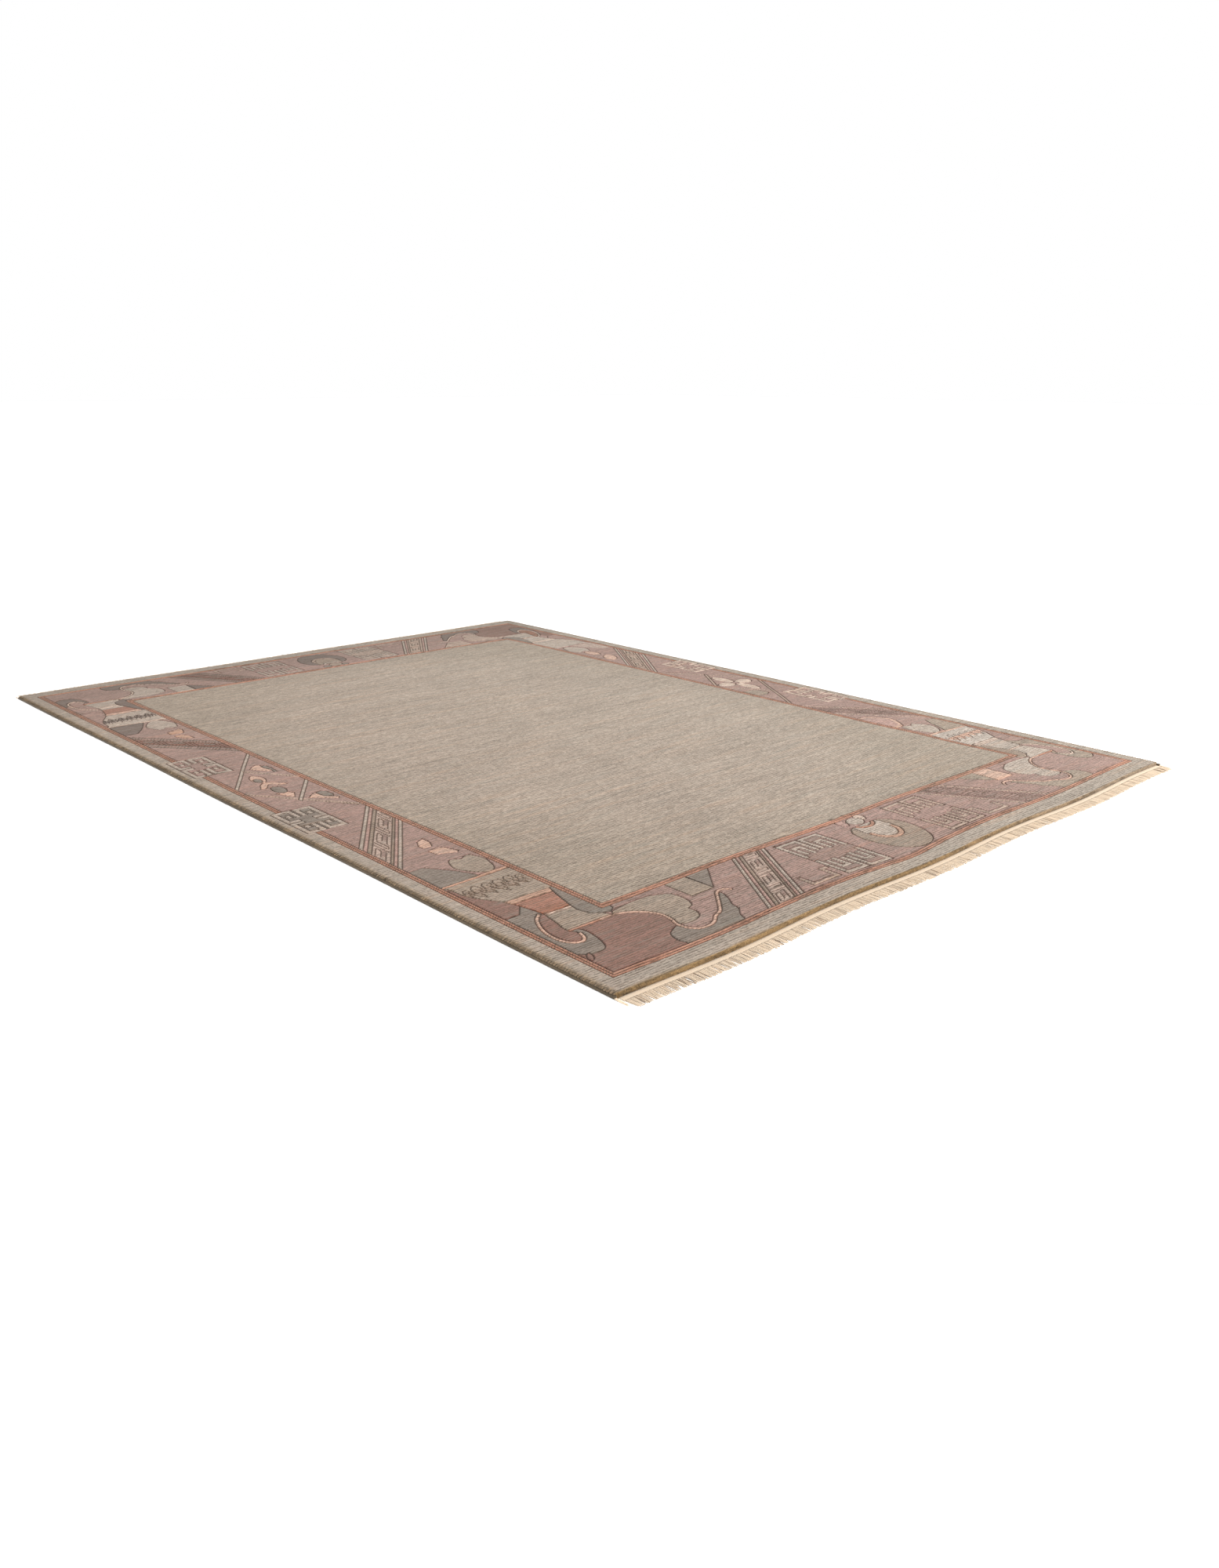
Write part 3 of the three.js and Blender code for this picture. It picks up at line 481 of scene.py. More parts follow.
def drifted(points):
    """Points of the pattern, moved by the smaller strayings round them."""
    points = np.array(points, float)
    moved = points.copy()
    for drift in DRIFTS:
        away = ((points - (drift.x, drift.y)) ** 2).sum(1) / drift.reach**2
        moved += np.exp(-away)[:, None] * (drift.dx, drift.dy)
    return moved


def curve(rows, closed=False):
    """Points along a smooth curve through rows of points."""
    rows = np.array(rows, float)
    if closed:
        padded = np.vstack([rows[-1:], rows, rows[:2]])
    else:
        padded = np.vstack([2 * rows[:1] - rows[1:2], rows, 2 * rows[-1:] - rows[-2:-1]])
    found = []
    for a, b, c, d in zip(padded, padded[1:], padded[2:], padded[3:]):
        steps = max(1, round(math.dist(b, c) / CURVE_STEP))
        t = (np.arange(steps) / steps)[:, None]
        bend = (2 * a - 5 * b + 4 * c - d) * t**2 / 2
        found.append(b + (c - a) * t / 2 + bend + (3 * b - 3 * c + d - a) * t**3 / 2)
    return np.vstack(found if closed else [*found, rows[-1:]])


def parted(line, step):
    """Points along an open line at short steps, with its own points among them."""
    found = []
    for a, b in zip(line, line[1:]):
        steps = max(1, math.ceil(math.dist(a, b) / step))
        found.append(a + (b - a) * (np.arange(steps) / steps)[:, None])
    return np.vstack([*found, line[-1:]])


def unit(vectors):
    return vectors / np.maximum(np.linalg.norm(vectors, axis=1), TINY)[:, None]


def beside(rows, distance):
    """An open line moved sideways, to the left of its direction."""
    rows = np.array(rows, float)
    steps = unit(np.diff(rows, axis=0))
    into = np.vstack([steps[:1], steps])
    along = unit(into + np.vstack([steps, steps[-1:]]))
    longer = np.minimum(1 / np.maximum((along * into).sum(1), TINY), MITRE_LIMIT)
    left = np.stack([-along[:, 1], along[:, 0]], 1)
    return rows + left * (longer * distance)[:, None]


def strip(rows, half):
    """The outline of a line with a width."""
    return np.vstack([beside(rows, half), beside(rows, -half)[::-1]])


def slanted(start, end, width):
    """A stroke from one guard to another, with its ends cut along the guards."""
    (a, b), (c, d) = start, end
    return np.array([(a, b - width / 2), (a, b + width / 2), (c, d + width / 2), (c, d - width / 2)])


def leaf(across, along, half, wide, turn):
    """A leaf round a middle, with two pointed ends. Its long axis is turned by so many degrees."""
    t = 2 * np.pi * np.arange(LEAF_STEPS) / LEAF_STEPS
    p = half * np.cos(t)
    q = wide * np.sin(t) * np.abs(np.sin(t)) ** 0.25
    angle = math.radians(turn)
    return np.stack([
        across + p * math.cos(angle) - q * math.sin(angle),
        along + p * math.sin(angle) + q * math.cos(angle),
    ], 1)


def mirrored(rows):
    """Rows of points mirrored about the middle line, and in the other order."""
    return [(-x, y) for x, y in reversed(rows)]


def both_halves(rows):
    """A whole outline from its left half, which ends on the middle line."""
    return list(rows) + mirrored(rows[:-1])


def crescent(outer, inner):
    """The outline between two curves, each given by its left half."""
    return np.vstack([curve(both_halves(outer)), curve(both_halves(inner))[::-1]])


# The pattern. Each row is an outline, the yarns of its four quarters from near left round to far left, and
# whether it is carved. A later row lies over the ones before it. The row of a cut is an open line, which is
# carved and colours nothing.
CUT = "cut"


def vase_rows():
    """The treasure vase on each long side by the corner, with the scarf that hooks round its foot."""
    hook, wave = curve(SCARF_HOOK), curve(SCARF_WAVE)
    shade_edge = curve(HOOK_SHADE)[::-1]
    corner_ground = np.vstack([CORNER_GROUND, wave[:SCARF_TURN_POINTS][::-1], (COLLAR_SIDE[2],)])
    hook_shade = np.vstack([HOOK_SHADE_TOP, shade_edge])
    far_shade = np.vstack([FAR_SHADE_TOP, SCARF_HOOK[3:], shade_edge])
    hook_inside = np.vstack([hook, FOOT_SIDE[::-1], (NECK_OUT,)])
    strokes = [
        [(place + u * size, TOOTH_MIDDLE + shift + (v - TOOTH_MIDDLE) * size) for u, v in line]
        for place, shift, size in TOOTH_PLACES
        for line in TOOTH_STROKES
    ]
    return [
        (corner_ground, "plum rose plum rose", False),
        (COLLAR, "sage mist pale pale", True),
        (COLLAR_LIP, "gilt peach blush cream", True),
        (TEETH, "clay peach none dark", False),
        *[(stroke, "cut cut none cut", CUT) for stroke in strokes],
        (SIDE_WEDGE, "plum rose rose rose", True),
        (hook_shade, "slate sage none none", True),
        (far_shade, "none none dark dark", True),
        (hook_inside, "plum rose brick rose", True),
        (leaf(*SMALL_LEAF), "plum none none none", True),
        (SLIVER, "slate clay slate dark", True),
        (NECK, "ember pale pale ember", True),
        (NECK_SHADE, "brick none none pale", False),
        (NECK_BAND, "gilt cream cream peach", True),
        (FOOT, "sage pale pale pale", True),
        (FOOT_RING, "cream cream peach cream", True),
        (strip(hook, SCARF_HALF), "peach cream cream cream", True),
    ]


def corner_rows():
    """The wave of the scarf in the corner, the cloud, the square and the stepped line."""
    wave = curve(SCARF_WAVE)
    cloud_start, cloud_end, shade_end = (
        int(np.argmin(np.linalg.norm(wave - place, axis=1))) for place in (CLOUD[0], CLOUD[-1], SCARF_CREST)
    )
    cloud = np.vstack([curve(CLOUD), wave[cloud_start + 1 : cloud_end][::-1]])
    shade_edge = wave[cloud_end + 1 : shade_end + 1][::-1]
    shade = np.vstack([curve(WAVE_SHADE_OUT), curve(WAVE_SHADE_IN), shade_edge])
    return [
        (cloud, "sage pale fawn pale", True),
        (shade, "slate sage dark dark", True),
        (strip(wave, SCARF_HALF), "peach peach cream cream", True),
        (strip(wave[:SCARF_FOOT_POINTS], SCARF_HALF), "coral coral fawn coral", False),
        (SQUARE, "sage peach fawn pale", True),
        (CORNER_PIECE, "slate sage fawn dark", True),
        (strip(STEPPED_LINE, STEPPED_HALF), "fawn fawn fawn fawn", True),
    ]


def band_rows(edges, quarters=(1, 1, 1, 1)):
    """A slanting band of key fret, in those quarters of the four that have it."""
    low, high = np.array(edges, float)

    def at(along, across):
        """A place in shares of the way along and across the band."""
        on_low, on_high = (edge[0] * (1 - along) + edge[1] * along for edge in (low, high))
        return on_low * (1 - across) + on_high * across

    def stripe(start, end):
        return [at(0, start), at(1, start), at(1, end), at(0, end)]

    def key(rows, start):
        return [at(start + along, across) for along, across in rows]

    def only(yarns):
        return " ".join(yarn if wanted else "none" for yarn, wanted in zip(yarns.split(), quarters))

    return [
        (stripe(0, 1), only("shale dusk fawn plum"), True),
        *[(key(KEY_PATCH, start), only("dusk dusk sage slate"), False) for start in KEY_STARTS],
        *[(key(line, start), only("cut cut cut cut"), CUT) for start in KEY_STARTS for line in KEY_CUTS],
        *[(stripe(start, end), only(yarns), True) for start, end, yarns in reversed(BAND_STRIPES)],
    ]


def fret_rows(across, along, gap, half, lines, yarns, ground):
    """A fret block on its ground, mirrored about its middle both ways."""
    middle = np.array([sum(across), sum(along)]) / 2
    corners = np.array([(across[i], along[j]) for i, j in ((0, 0), (1, 0), (1, 1), (0, 1))])
    rows = [(corners + FRET_RIM * np.sign(corners - middle), ground, True)]
    for corner in itertools.product(across, along):
        inside = middle + np.array(gap) / 2 * np.sign(corner - middle)
        rows += [(strip(inside + (corner - inside) * line, half), yarns, True) for line in lines]
    return rows


def side_rows():
    """Strokes, lobes and petals between the vase and the middle of a long side."""
    def plain_stroke(edges, yarns):
        return (slanted(*edges, PLAIN_STROKE), yarns, True)

    def split_stroke(edges, yarns):
        cuts = " ".join("none" if yarn == "none" else "cut" for yarn in yarns.split())
        return (slanted(*edges, SPLIT_STROKE), yarns, False), (edges, cuts, CUT)

    return [
        (DARK_LOBE, "slate sage shale dark", True),
        (curve(PALE_LOBE, True), "sage pale pale pale", True),
        (PETAL_POINT, "peach none none gilt", True),
        (PETAL_FAN, "peach none none gilt", True),
        *[(leaf(*row), "none none peach none", True) for row in FAR_PETALS],
        (PETAL_ARCH, "none peach none none", True),
        (PETAL_ARCH_INSIDE, "none blush none none", False),
        *split_stroke(LONG_STROKES[0], "fawn none fawn none"),
        plain_stroke(LONG_STROKES[1], "none fawn none pale"),
        plain_stroke(SHORT_STROKES[0], "pale none fawn none"),
        *split_stroke(SHORT_STROKES[1], "none fawn none fawn"),
        (NEAR_DIAMOND, "peach none none none", True),
        (NEAR_DIAMOND_POOL, "slate none none none", True),
        (FAR_DIAMOND, "none none none peach", True),
        (FAR_DIAMOND_POOL, "none none none slate", True),
        (SIDE_PATCH, "none sage none none", True),
    ]


def middle_rows():
    """The flowers in the middle of the long sides: outlines, side of the rug, yarn."""
    left = [
        (curve(LOTUS_LEAF, True), "peach"), (curve(LOTUS_HEART, True), "slate"), (LOTUS_CHEVRON, "peach"),
        (curve(LOTUS_POD, True), "slate"), (LOTUS_KITE, "peach"),
    ]
    right = [(leaf(*row), "cream") for row in FLOWER_PETALS] + [(leaf(*FLOWER_HEART), "rose")]
    return [(outline, -1, yarn) for outline, yarn in left] + [(outline, 1, yarn) for outline, yarn in right]


def end_rows():
    """The cup and bowl in the middle of each end: outline, yarn at the near end, yarn at the far end."""
    rows = [
        (curve(both_halves(CUP)), "clay", "dark"), (curve(both_halves(BOWL)), "pale", "clay"),
        (crescent(*BOWL_LINE), "gilt", "fawn"), (crescent(*BOWL_BAR), "coral", "pale"),
    ]
    rows = [(outline + (MIDDLE, 0), near, far) for outline, near, far in rows]
    return rows + [(leaf(x, y, tall, wide, 90), near, far) for x, y, wide, tall, near, far in BUDS]


Zone = namedtuple("Zone", "outline yarn carved")


def ring_outline(across, along):
    return np.array(QUARTERS) * (across, along)


def pattern():
    """Every zone of the rug's face, from the bottom up, as it lies on the rug."""
    zones = []

    def add(outline, yarn, carved=True, right=1, far=1):
        outline = np.array(outline, float) * (right, far)
        if carved == CUT:
            outline = parted(outline, TEST_STEP)
        else:
            outline = parted(np.vstack([outline, outline[:1]]), TEST_STEP)[:-1]
        zones.append(Zone(settle(drifted(outline)), yarn, carved))

    def add_quarters(rows):
        for outline, yarns, carved in rows:
            for (right, far), yarn in zip(QUARTERS, yarns.split()):
                if yarn != "none":
                    add(outline, yarn, carved, right, far)

    for guard, yarn in zip(OUTER_GUARD, ("coral", "coral", "rose")):
        add(ring_outline(*guard), yarn)
    add_quarters(vase_rows() + corner_rows() + band_rows(END_BAND))
    add_quarters(band_rows(SIDE_BANDS[0], (1, 0, 1, 0)) + band_rows(SIDE_BANDS[1], (0, 1, 0, 1)))
    add_quarters(side_rows() + fret_rows(**END_FRET))
    for outline, right, yarn in middle_rows():
        add(outline, yarn, True, right)
    for outline, near_yarn, far_yarn in end_rows():
        add(outline, near_yarn, True, 1, -1)
        add(outline, far_yarn)
    for guard, yarn in zip(INNER_GUARD, ("coral", "coral", "field")):
        add(ring_outline(*guard), yarn)
    add_quarters(fret_rows(**SIDE_FRET))
    return zones


def topmost(zones, points):
    """The number of the uppermost zone at each point, or -1 outside them all."""
    found = np.full(len(points), -1)
    for number, zone in enumerate(zones):
        if zone.carved == CUT:
            continue
        low, high = zone.outline.min(0), zone.outline.max(0)
        near = np.nonzero(((points >= low) & (points <= high)).all(1))[0]
        x, y = points[near].T
        inside = np.zeros(len(near), bool)
        for (ax, ay), (bx, by) in zip(zone.outline, np.roll(zone.outline, -1, 0)):
            if ay != by:
                inside ^= ((ay > y) != (by > y)) & (x < (bx - ax) * (y - ay) / (by - ay) + ax)
        found[near[inside]] = number
    return found


def runs(points, kept, closed):
    """The stretches of a line whose steps are kept. There is one step after each point of a closed line."""
    count = len(points)
    if closed and kept.all():
        return [np.vstack([points, points[:1]])]
    steps = count if closed else count - 1
    start = int(np.argmin(kept)) if closed else 0
    found, run = [], []
    for n in range(steps):
        i = (start + n) % count
        if kept[i]:
            run = run or [points[i]]
            run.append(points[(i + 1) % count])
        elif run:
            found.append(np.array(run))
            run = []
    if run:
        found.append(np.array(run))
    return found


def simplified(line):
    """A line without the points that it can do without."""
    keep = np.zeros(len(line), bool)
    keep[[0, -1]] = True
    spans = [(0, len(line) - 1)]
    while spans:
        i, j = spans.pop()
        if j - i < 2:
            continue
        along = line[j] - line[i]
        length = math.hypot(*along)
        between = line[i + 1 : j] - line[i]
        if length < TINY:
            away = np.linalg.norm(between, axis=1)
        else:
            away = np.abs(between[:, 0] * along[1] - between[:, 1] * along[0]) / length
        k = i + 1 + int(np.argmax(away))
        if away.max() > SLACK:
            spans += [(i, k), (k, j)]
            keep[k] = True
    return line[keep]


def tree_of(points):
    tree = KDTree(len(points))
    for i, (x, y) in enumerate(points):
        tree.insert((x, y, 0), i)
    tree.balance()
    return tree


def distances(tree, points):
    return np.array([tree.find((*p, 0))[2] for p in points])


def visible_lines(zones):
    """The zones' outlines where they show: those that are carved, and those where only the yarn changes."""
    starts, ends, owner = [], [], []
    for number, zone in enumerate(zones):
        steps = len(zone.outline) - (zone.carved == CUT)
        starts.append(zone.outline[:steps])
        ends.append(np.roll(zone.outline, -1, 0)[:steps])
        owner += [number] * steps
    starts, ends, owner = np.vstack(starts), np.vstack(ends), np.array(owner)
    cut = np.array([zone.carved == CUT for zone in zones])[owner]
    middle, along = (starts + ends) / 2, unit(ends - starts)
    left = np.stack([-along[:, 1], along[:, 0]], 1) * PROBE
    on_left, on_right = topmost(zones, middle + left), topmost(zones, middle - left)
    shows = np.where(cut, np.maximum(on_left, on_right) < owner, on_left != on_right)
    tree = tree_of(middle)
    for i in np.nonzero(shows)[0]:
        # where two outlines run together, the earlier one stands for both
        for place, j, _ in tree.find_range((*middle[i], 0), TOGETHER_REACH):
            offset = (np.array(place[:2]) - middle[i]) @ left[i] / PROBE
            together = abs(offset) < TOGETHER and abs(along[i] @ along[j]) > PARALLEL
            if together and owner[j] < owner[i] and shows[j]:
                shows[i] = False
                break
    carved, plain = [], []
    for number, zone in enumerate(zones):
        lines = runs(zone.outline, shows[owner == number], zone.carved != CUT)
        (carved if zone.carved else plain).extend(simplified(line) for line in lines)
    return carved, plain


def shoulder_lines(carved, tree):
    """Lines at both sides of the carved ones, where nothing else is carved nearer."""
    found = []
    for line in carved:
        for distance, side in itertools.product((CARVE_SHOULDER, CARVE_HALF), (-1, 1)):
            moved = beside(parted(line, TEST_STEP), side * distance)
            clear = distances(tree, moved) > CLEAR * distance
            found += [simplified(run) for run in runs(moved, clear[:-1] & clear[1:], False)]
    return found


# Meshes


def new_object(name, points, faces, material):
    """A mesh object from points in millimetres."""
    mesh = bpy.data.meshes.new(name)
    mesh.from_pydata((np.asarray(points, float) * MM).tolist(), [], faces)
    mesh.validate()
    mesh.materials.append(material)
    made = bpy.data.objects.new(name, mesh)
    bpy.context.scene.collection.objects.link(made)
    return made


def add_values(made, name, values):
    """Gives a mesh a number at each of its points."""
    layer = made.data.attributes.new(name, "FLOAT", "POINT")
    layer.data.foreach_set("value", np.asarray(values, np.float32))


def around(count):
    """Angles at even steps round a circle."""
    return 2 * np.pi * (np.arange(count) + 0.5) / count


def ring_faces(start, count, rings):
    """Quads between rings of equally many points, each ring after the one below it."""
    faces = []
    for r in range(rings - 1):
        low, high = start + r * count, start + (r + 1) * count
        for i in range(count):
            j = (i + 1) % count
            faces.append((low + i, low + j, high + j, high + i))
    return faces


class Tubes:
    """Closed tubes, gathered into one mesh."""

    def __init__(self):
        self.points = []
        self.faces = []
        self.values = []

    def add(self, path, radii, sides, value=0.0, flat=1.0):
        """Adds a tube along a path. Flat is its height as a share of its width."""
        path = np.asarray(path, float)
        ahead = unit(np.gradient(path, axis=0))
        side = unit(np.cross(ahead, (0, 0, 1.0)))
        up = np.cross(side, ahead)
        start = len(self.points)
        for p, s, u, r in zip(path, side, up, radii):
            for t in around(sides):
                place = p + s * r * math.cos(t) + u * r * flat * math.sin(t)
                place[2] = max(place[2], 0.0)
                self.points.append(place)
                self.values.append(value)
        self.faces += [f[::-1] for f in ring_faces(start, sides, len(path))]
        last = start + sides * (len(path) - 1)
        self.faces.append(tuple(range(start, start + sides)))
        self.faces.append(tuple(reversed(range(last, last + sides))))

    def object(self, name, values_name, material):
        made = new_object(name, self.points, self.faces, material)
        add_values(made, values_name, self.values)
        made.data.shade_smooth()
        return made


def side_waves(length, random):
    """The tufts of a long side: places along it, in shares of its length, and the swelling there."""
    tufts = round(length / TUFT_PITCH)
    size = random.uniform(SMALLEST_TUFT, 1.0, tufts)[:, None]
    lean = random.uniform(-TUFT_LEAN, TUFT_LEAN, tufts)[:, None]
    share = np.arange(TUFT_COLUMNS) / TUFT_COLUMNS
    places = (np.arange(tufts)[:, None] + share + lean * np.sin(np.pi * share)) / tufts
    return places.ravel(), (-size * np.cos(2 * np.pi * share)).ravel()


def end_waves(length, random):
    """The same for the knots of an end."""
    columns = 2 * round(length / KNOT_PITCH)
    in_and_out = np.where(np.arange(columns) % 2, 1.0, -1.0)
    waves = in_and_out * random.uniform(SMALLEST_KNOT, 1.0, columns) * KNOT_SWELL
    return np.arange(columns) / columns, waves


def flank_columns(random):
    """The columns of points round the pile's flank: place, way out and the waves of its tufts and knots."""
    straight_x, straight_y = HALF_WIDTH - CORNER, HALF_LENGTH - CORNER
    edges = (
        # start, end, way out, centre of the corner after it
        ((-straight_x, -HALF_LENGTH), (straight_x, -HALF_LENGTH), (0, -1), (straight_x, -straight_y)),
        ((HALF_WIDTH, -straight_y), (HALF_WIDTH, straight_y), (1, 0), (straight_x, straight_y)),
        ((straight_x, HALF_LENGTH), (-straight_x, HALF_LENGTH), (0, 1), (-straight_x, straight_y)),
        ((-HALF_WIDTH, straight_y), (-HALF_WIDTH, -straight_y), (-1, 0), (-straight_x, -straight_y)),
    )
    corner = np.arange(CORNER_COLUMNS)
    base, out, wave = [], [], []
    for start, end, way, centre in np.array(edges, float):
        waves_along = side_waves if way[0] else end_waves
        places, waves = waves_along(math.dist(start, end), random)
        turned = math.atan2(way[1], way[0]) + np.pi / 2 * corner / CORNER_COLUMNS
        turned = np.stack([np.cos(turned), np.sin(turned)], 1)
        base += [start + (end - start) * places[:, None], centre + turned * CORNER]
        out += [np.tile(way, (len(places), 1)), turned]
        wave += [waves, np.where(corner % 2, CORNER_SWELL, -CORNER_SWELL)]
    return settle(np.vstack(base)), np.vstack(out), np.concatenate(wave)


def pile_flank(random):
    """The flank's rings, from the floor up, and how far each column faces a side and how deep its gap is."""
    base, out, wave = flank_columns(random)
    side = out[:, 0] ** 2
    gap = (1 - wave) / 2 * side
    near, far = (np.interp(base[:, 0], *zip(*END_SLOPE[end])) for end in (-1, 1))
    slope = side + (1 - side) * np.where(base[:, 1] < 0, near, far)
    rings = []
    for ring in FLANK:
        inset = side * ring.side_inset + (1 - side) * ring.end_inset
        inset = inset * np.where(ring.height < PILE_TOP, 1, slope)
        place = base + out * (wave * TUFT_SWELL * ring.tuft - inset)[:, None]
        rings.append(np.column_stack([place, ring.height - ring.notch * TUFT_NOTCH * gap]))
    return rings, side, gap


def in_a_bay(face, on_rim, points):
    """Whether a triangle lies outside the contour, in a bay of it. It then turns the other way round."""
    rim = [on_rim[i] for i in face]
    if None in rim:
        return False
    a, b, c = (points[i] for _, i in sorted(zip(rim, face)))
    return (b[0] - a[0]) * (c[1] - a[1]) < (b[1] - a[1]) * (c[0] - a[0])


def parted_face(contour, lines):
    """The face, cut along lines: its points, its triangles, and which points are which of the contour's."""
    count = len(contour)
    coords = [Vector(p) for p in contour]
    edges = [(i, (i + 1) % count) for i in range(count)]
    for line in lines:
        first = len(coords)
        coords += [Vector(p) for p in line]
        edges += [(first + i, first + i + 1) for i in range(len(line) - 1)]
    found, _, faces, origins, _, _ = delaunay_2d_cdt(coords, edges, [], 1, MERGE, True)
    points = np.array([tuple(p) for p in found])
    on_rim = [next((n for n in came_from if n < count), None) for came_from in origins]
    return points, [f for f in faces if not in_a_bay(f, on_rim, points)], on_rim


def add_yarns(made, yarns, names):
    """Colours a mesh, from the name of each face's yarn."""
    colours = {name: (*getattr(yarns, name), 1.0) for name in set(names)}
    corners = [p.loop_total for p in made.data.polygons]
    layer = made.data.color_attributes.new("yarn", "FLOAT_COLOR", "CORNER")
    values = np.repeat(np.array([colours[name] for name in names], np.float32), corners, axis=0)
    layer.data.foreach_set("color", values.ravel())


def carpet_mesh(sizes, yarns, material):
    """The pile carpet: its flank, its plain back and its carved face."""
    zones = pattern()
    carved, plain = visible_lines(zones)
    tree = tree_of(np.vstack([parted(line, SAMPLE_STEP) for line in carved]))
    rings, side, gap = pile_flank(np.random.default_rng(SEED))
    lines = carved + plain + shoulder_lines(carved, tree)
    face, triangles, on_rim = parted_face(rings[-1][:, :2], lines)
    sunk = np.interp(distances(tree, face), (0, CARVE_SHOULDER, CARVE_HALF), (1, SHOULDER_DEPTH, 0))

    # the points of the rings, then those of the face inside the last ring, then the middle of the back
    count, flank_points = len(side), len(side) * len(rings)
    inside = [i for i, ring_point in enumerate(on_rim) if ring_point is None]
    heights = PILE_TOP - sunk[inside] * sizes.carve_depth / MM
    points = np.vstack([*rings, np.column_stack([face[inside], heights]), [(0, 0, 0)]])
    hub = len(points) - 1
    number = [n if n is None else flank_points - count + n for n in on_rim]
    for k, i in enumerate(inside):
        number[i] = flank_points + k

    plain_faces = ring_faces(0, count, len(rings)) + [(hub, (i + 1) % count, i) for i in range(count)]
    all_faces = plain_faces + [tuple(number[i] for i in f) for f in triangles]
    made = new_object("pile_carpet_wool", points, all_faces, material)
    uppermost = topmost(zones, face[np.array(triangles)].mean(1))
    names = [zones[z].yarn if z >= 0 else "margin" for z in uppermost]
    add_yarns(made, yarns, ["margin"] * len(plain_faces) + names)
    blank = [0.0] * (len(points) - flank_points)
    below_top = [(1 - side) * (ring.height < PILE_TOP) for ring in FLANK]
    add_values(made, "carved", [0.0] * flank_points + [*sunk[inside], 0.0])
    add_values(made, "end_flank", [*np.concatenate(below_top), *blank])
    # where the valleys between the tufts lie, for the painted shade in them
    add_values(made, "valley", [*np.concatenate([gap * (ring.tuft > 0) for ring in FLANK]), *blank])
    return made


def selvedge_mesh(name, right, material):
    """A cord wrapped in yarn, and the loose ends of that yarn past both corners."""
    random = np.random.default_rng(SEED + 3 * right)
    steps = round(2 * HALF_LENGTH / WRAP_PITCH) * WRAP_COLUMNS
    along = np.linspace(-HALF_LENGTH, HALF_LENGTH, steps + 1)
    edge = settle(np.column_stack([np.full(len(along), right * HALF_WIDTH), along]))[:, 0]
    middle = edge - right * CORD_MIDDLE
    tubes = Tubes()
    for x, y in zip(middle, along):
        for t in around(CORD_SIDES):
            groove = 1 - abs(math.sin(math.pi * (y / WRAP_PITCH + WRAP_SLANT * math.sin(t))))
            radius = CORD_RADIUS - WRAP_RELIEF * groove
            z = max(CORD_MIDDLE + radius * math.sin(t), 0)
            tubes.points.append((x + right * radius * math.cos(t), y, z))
            tubes.values.append(groove)
    last = len(tubes.points)
    cord = ring_faces(0, CORD_SIDES, len(along))
    cord += [tuple(range(CORD_SIDES))[::-1], tuple(range(last - CORD_SIDES, last))]
    tubes.faces += cord if right < 0 else [f[::-1] for f in cord]

    share = np.linspace(0, 1, TAIL_STEPS + 1)
    for far, start in ((-1, middle[0]), (1, middle[-1])):
        for k in range(TAIL_STRANDS):
            length = TAIL_LENGTH * random.uniform(*TAIL_SIZES)
            drift = random.uniform(*TAIL_DRIFT) * right
            x = start + (k - (TAIL_STRANDS - 1) / 2) * TAIL_PITCH + drift * share**2
            y = far * (HALF_LENGTH - TAIL_START + length * share)
            z = TAIL_LOW + TAIL_RISE * (1 - share) ** 2
            radii = TAIL_RADIUS - TAIL_TAPER * share
            tubes.add(np.column_stack([x, y, z]), radii, STRAND_SIDES, value=TAIL_VALUE)
    return tubes.object(name, "groove", material)


def pile_end(x, far):
    """How far out the pile's end lies, at places across the rug."""
    return np.abs(settle(np.column_stack([x, np.full(len(x), far * HALF_LENGTH)]))[:, 1])


def add_web(tubes, far, ribs, random):
    """The cotton web, with a rib for each strand. Its profile runs round it from the floor by the pile."""
    edges = np.linspace(-WEB_HALF, WEB_HALF, 2 * ribs + 1)
    rib = np.where(np.arange(len(edges)) % 2, 1.0, 0.0)
    inner = pile_end(edges, far) + GAP
    for depth, height, share in WEB_PROFILE:
        ripple = random.uniform(-WEB_RIPPLE, WEB_RIPPLE, len(edges)) * (depth > 0.9)
        y = far * (inner + WEB_DEPTH * depth + ripple)
        z = np.where(height > 0, height + RIB_RELIEF * share * rib, 0.0)
        tubes.points += [tuple(p) for p in np.column_stack([edges, y, z])]
    tubes.values += [WEB_VALUE] * len(tubes.points)
    rows, columns = len(WEB_PROFILE), len(edges)
    faces = []
    for r in range(rows):
        low, high = r * columns, ((r + 1) % rows) * columns
        faces += [(low + i, low + i + 1, high + i + 1, high + i) for i in range(columns - 1)]
    starts = range(0, rows * columns, columns)
    faces += [tuple(starts)[::-1], tuple(start + columns - 1 for start in starts)]
    tubes.faces += [f[::-1] for f in faces] if far > 0 else faces


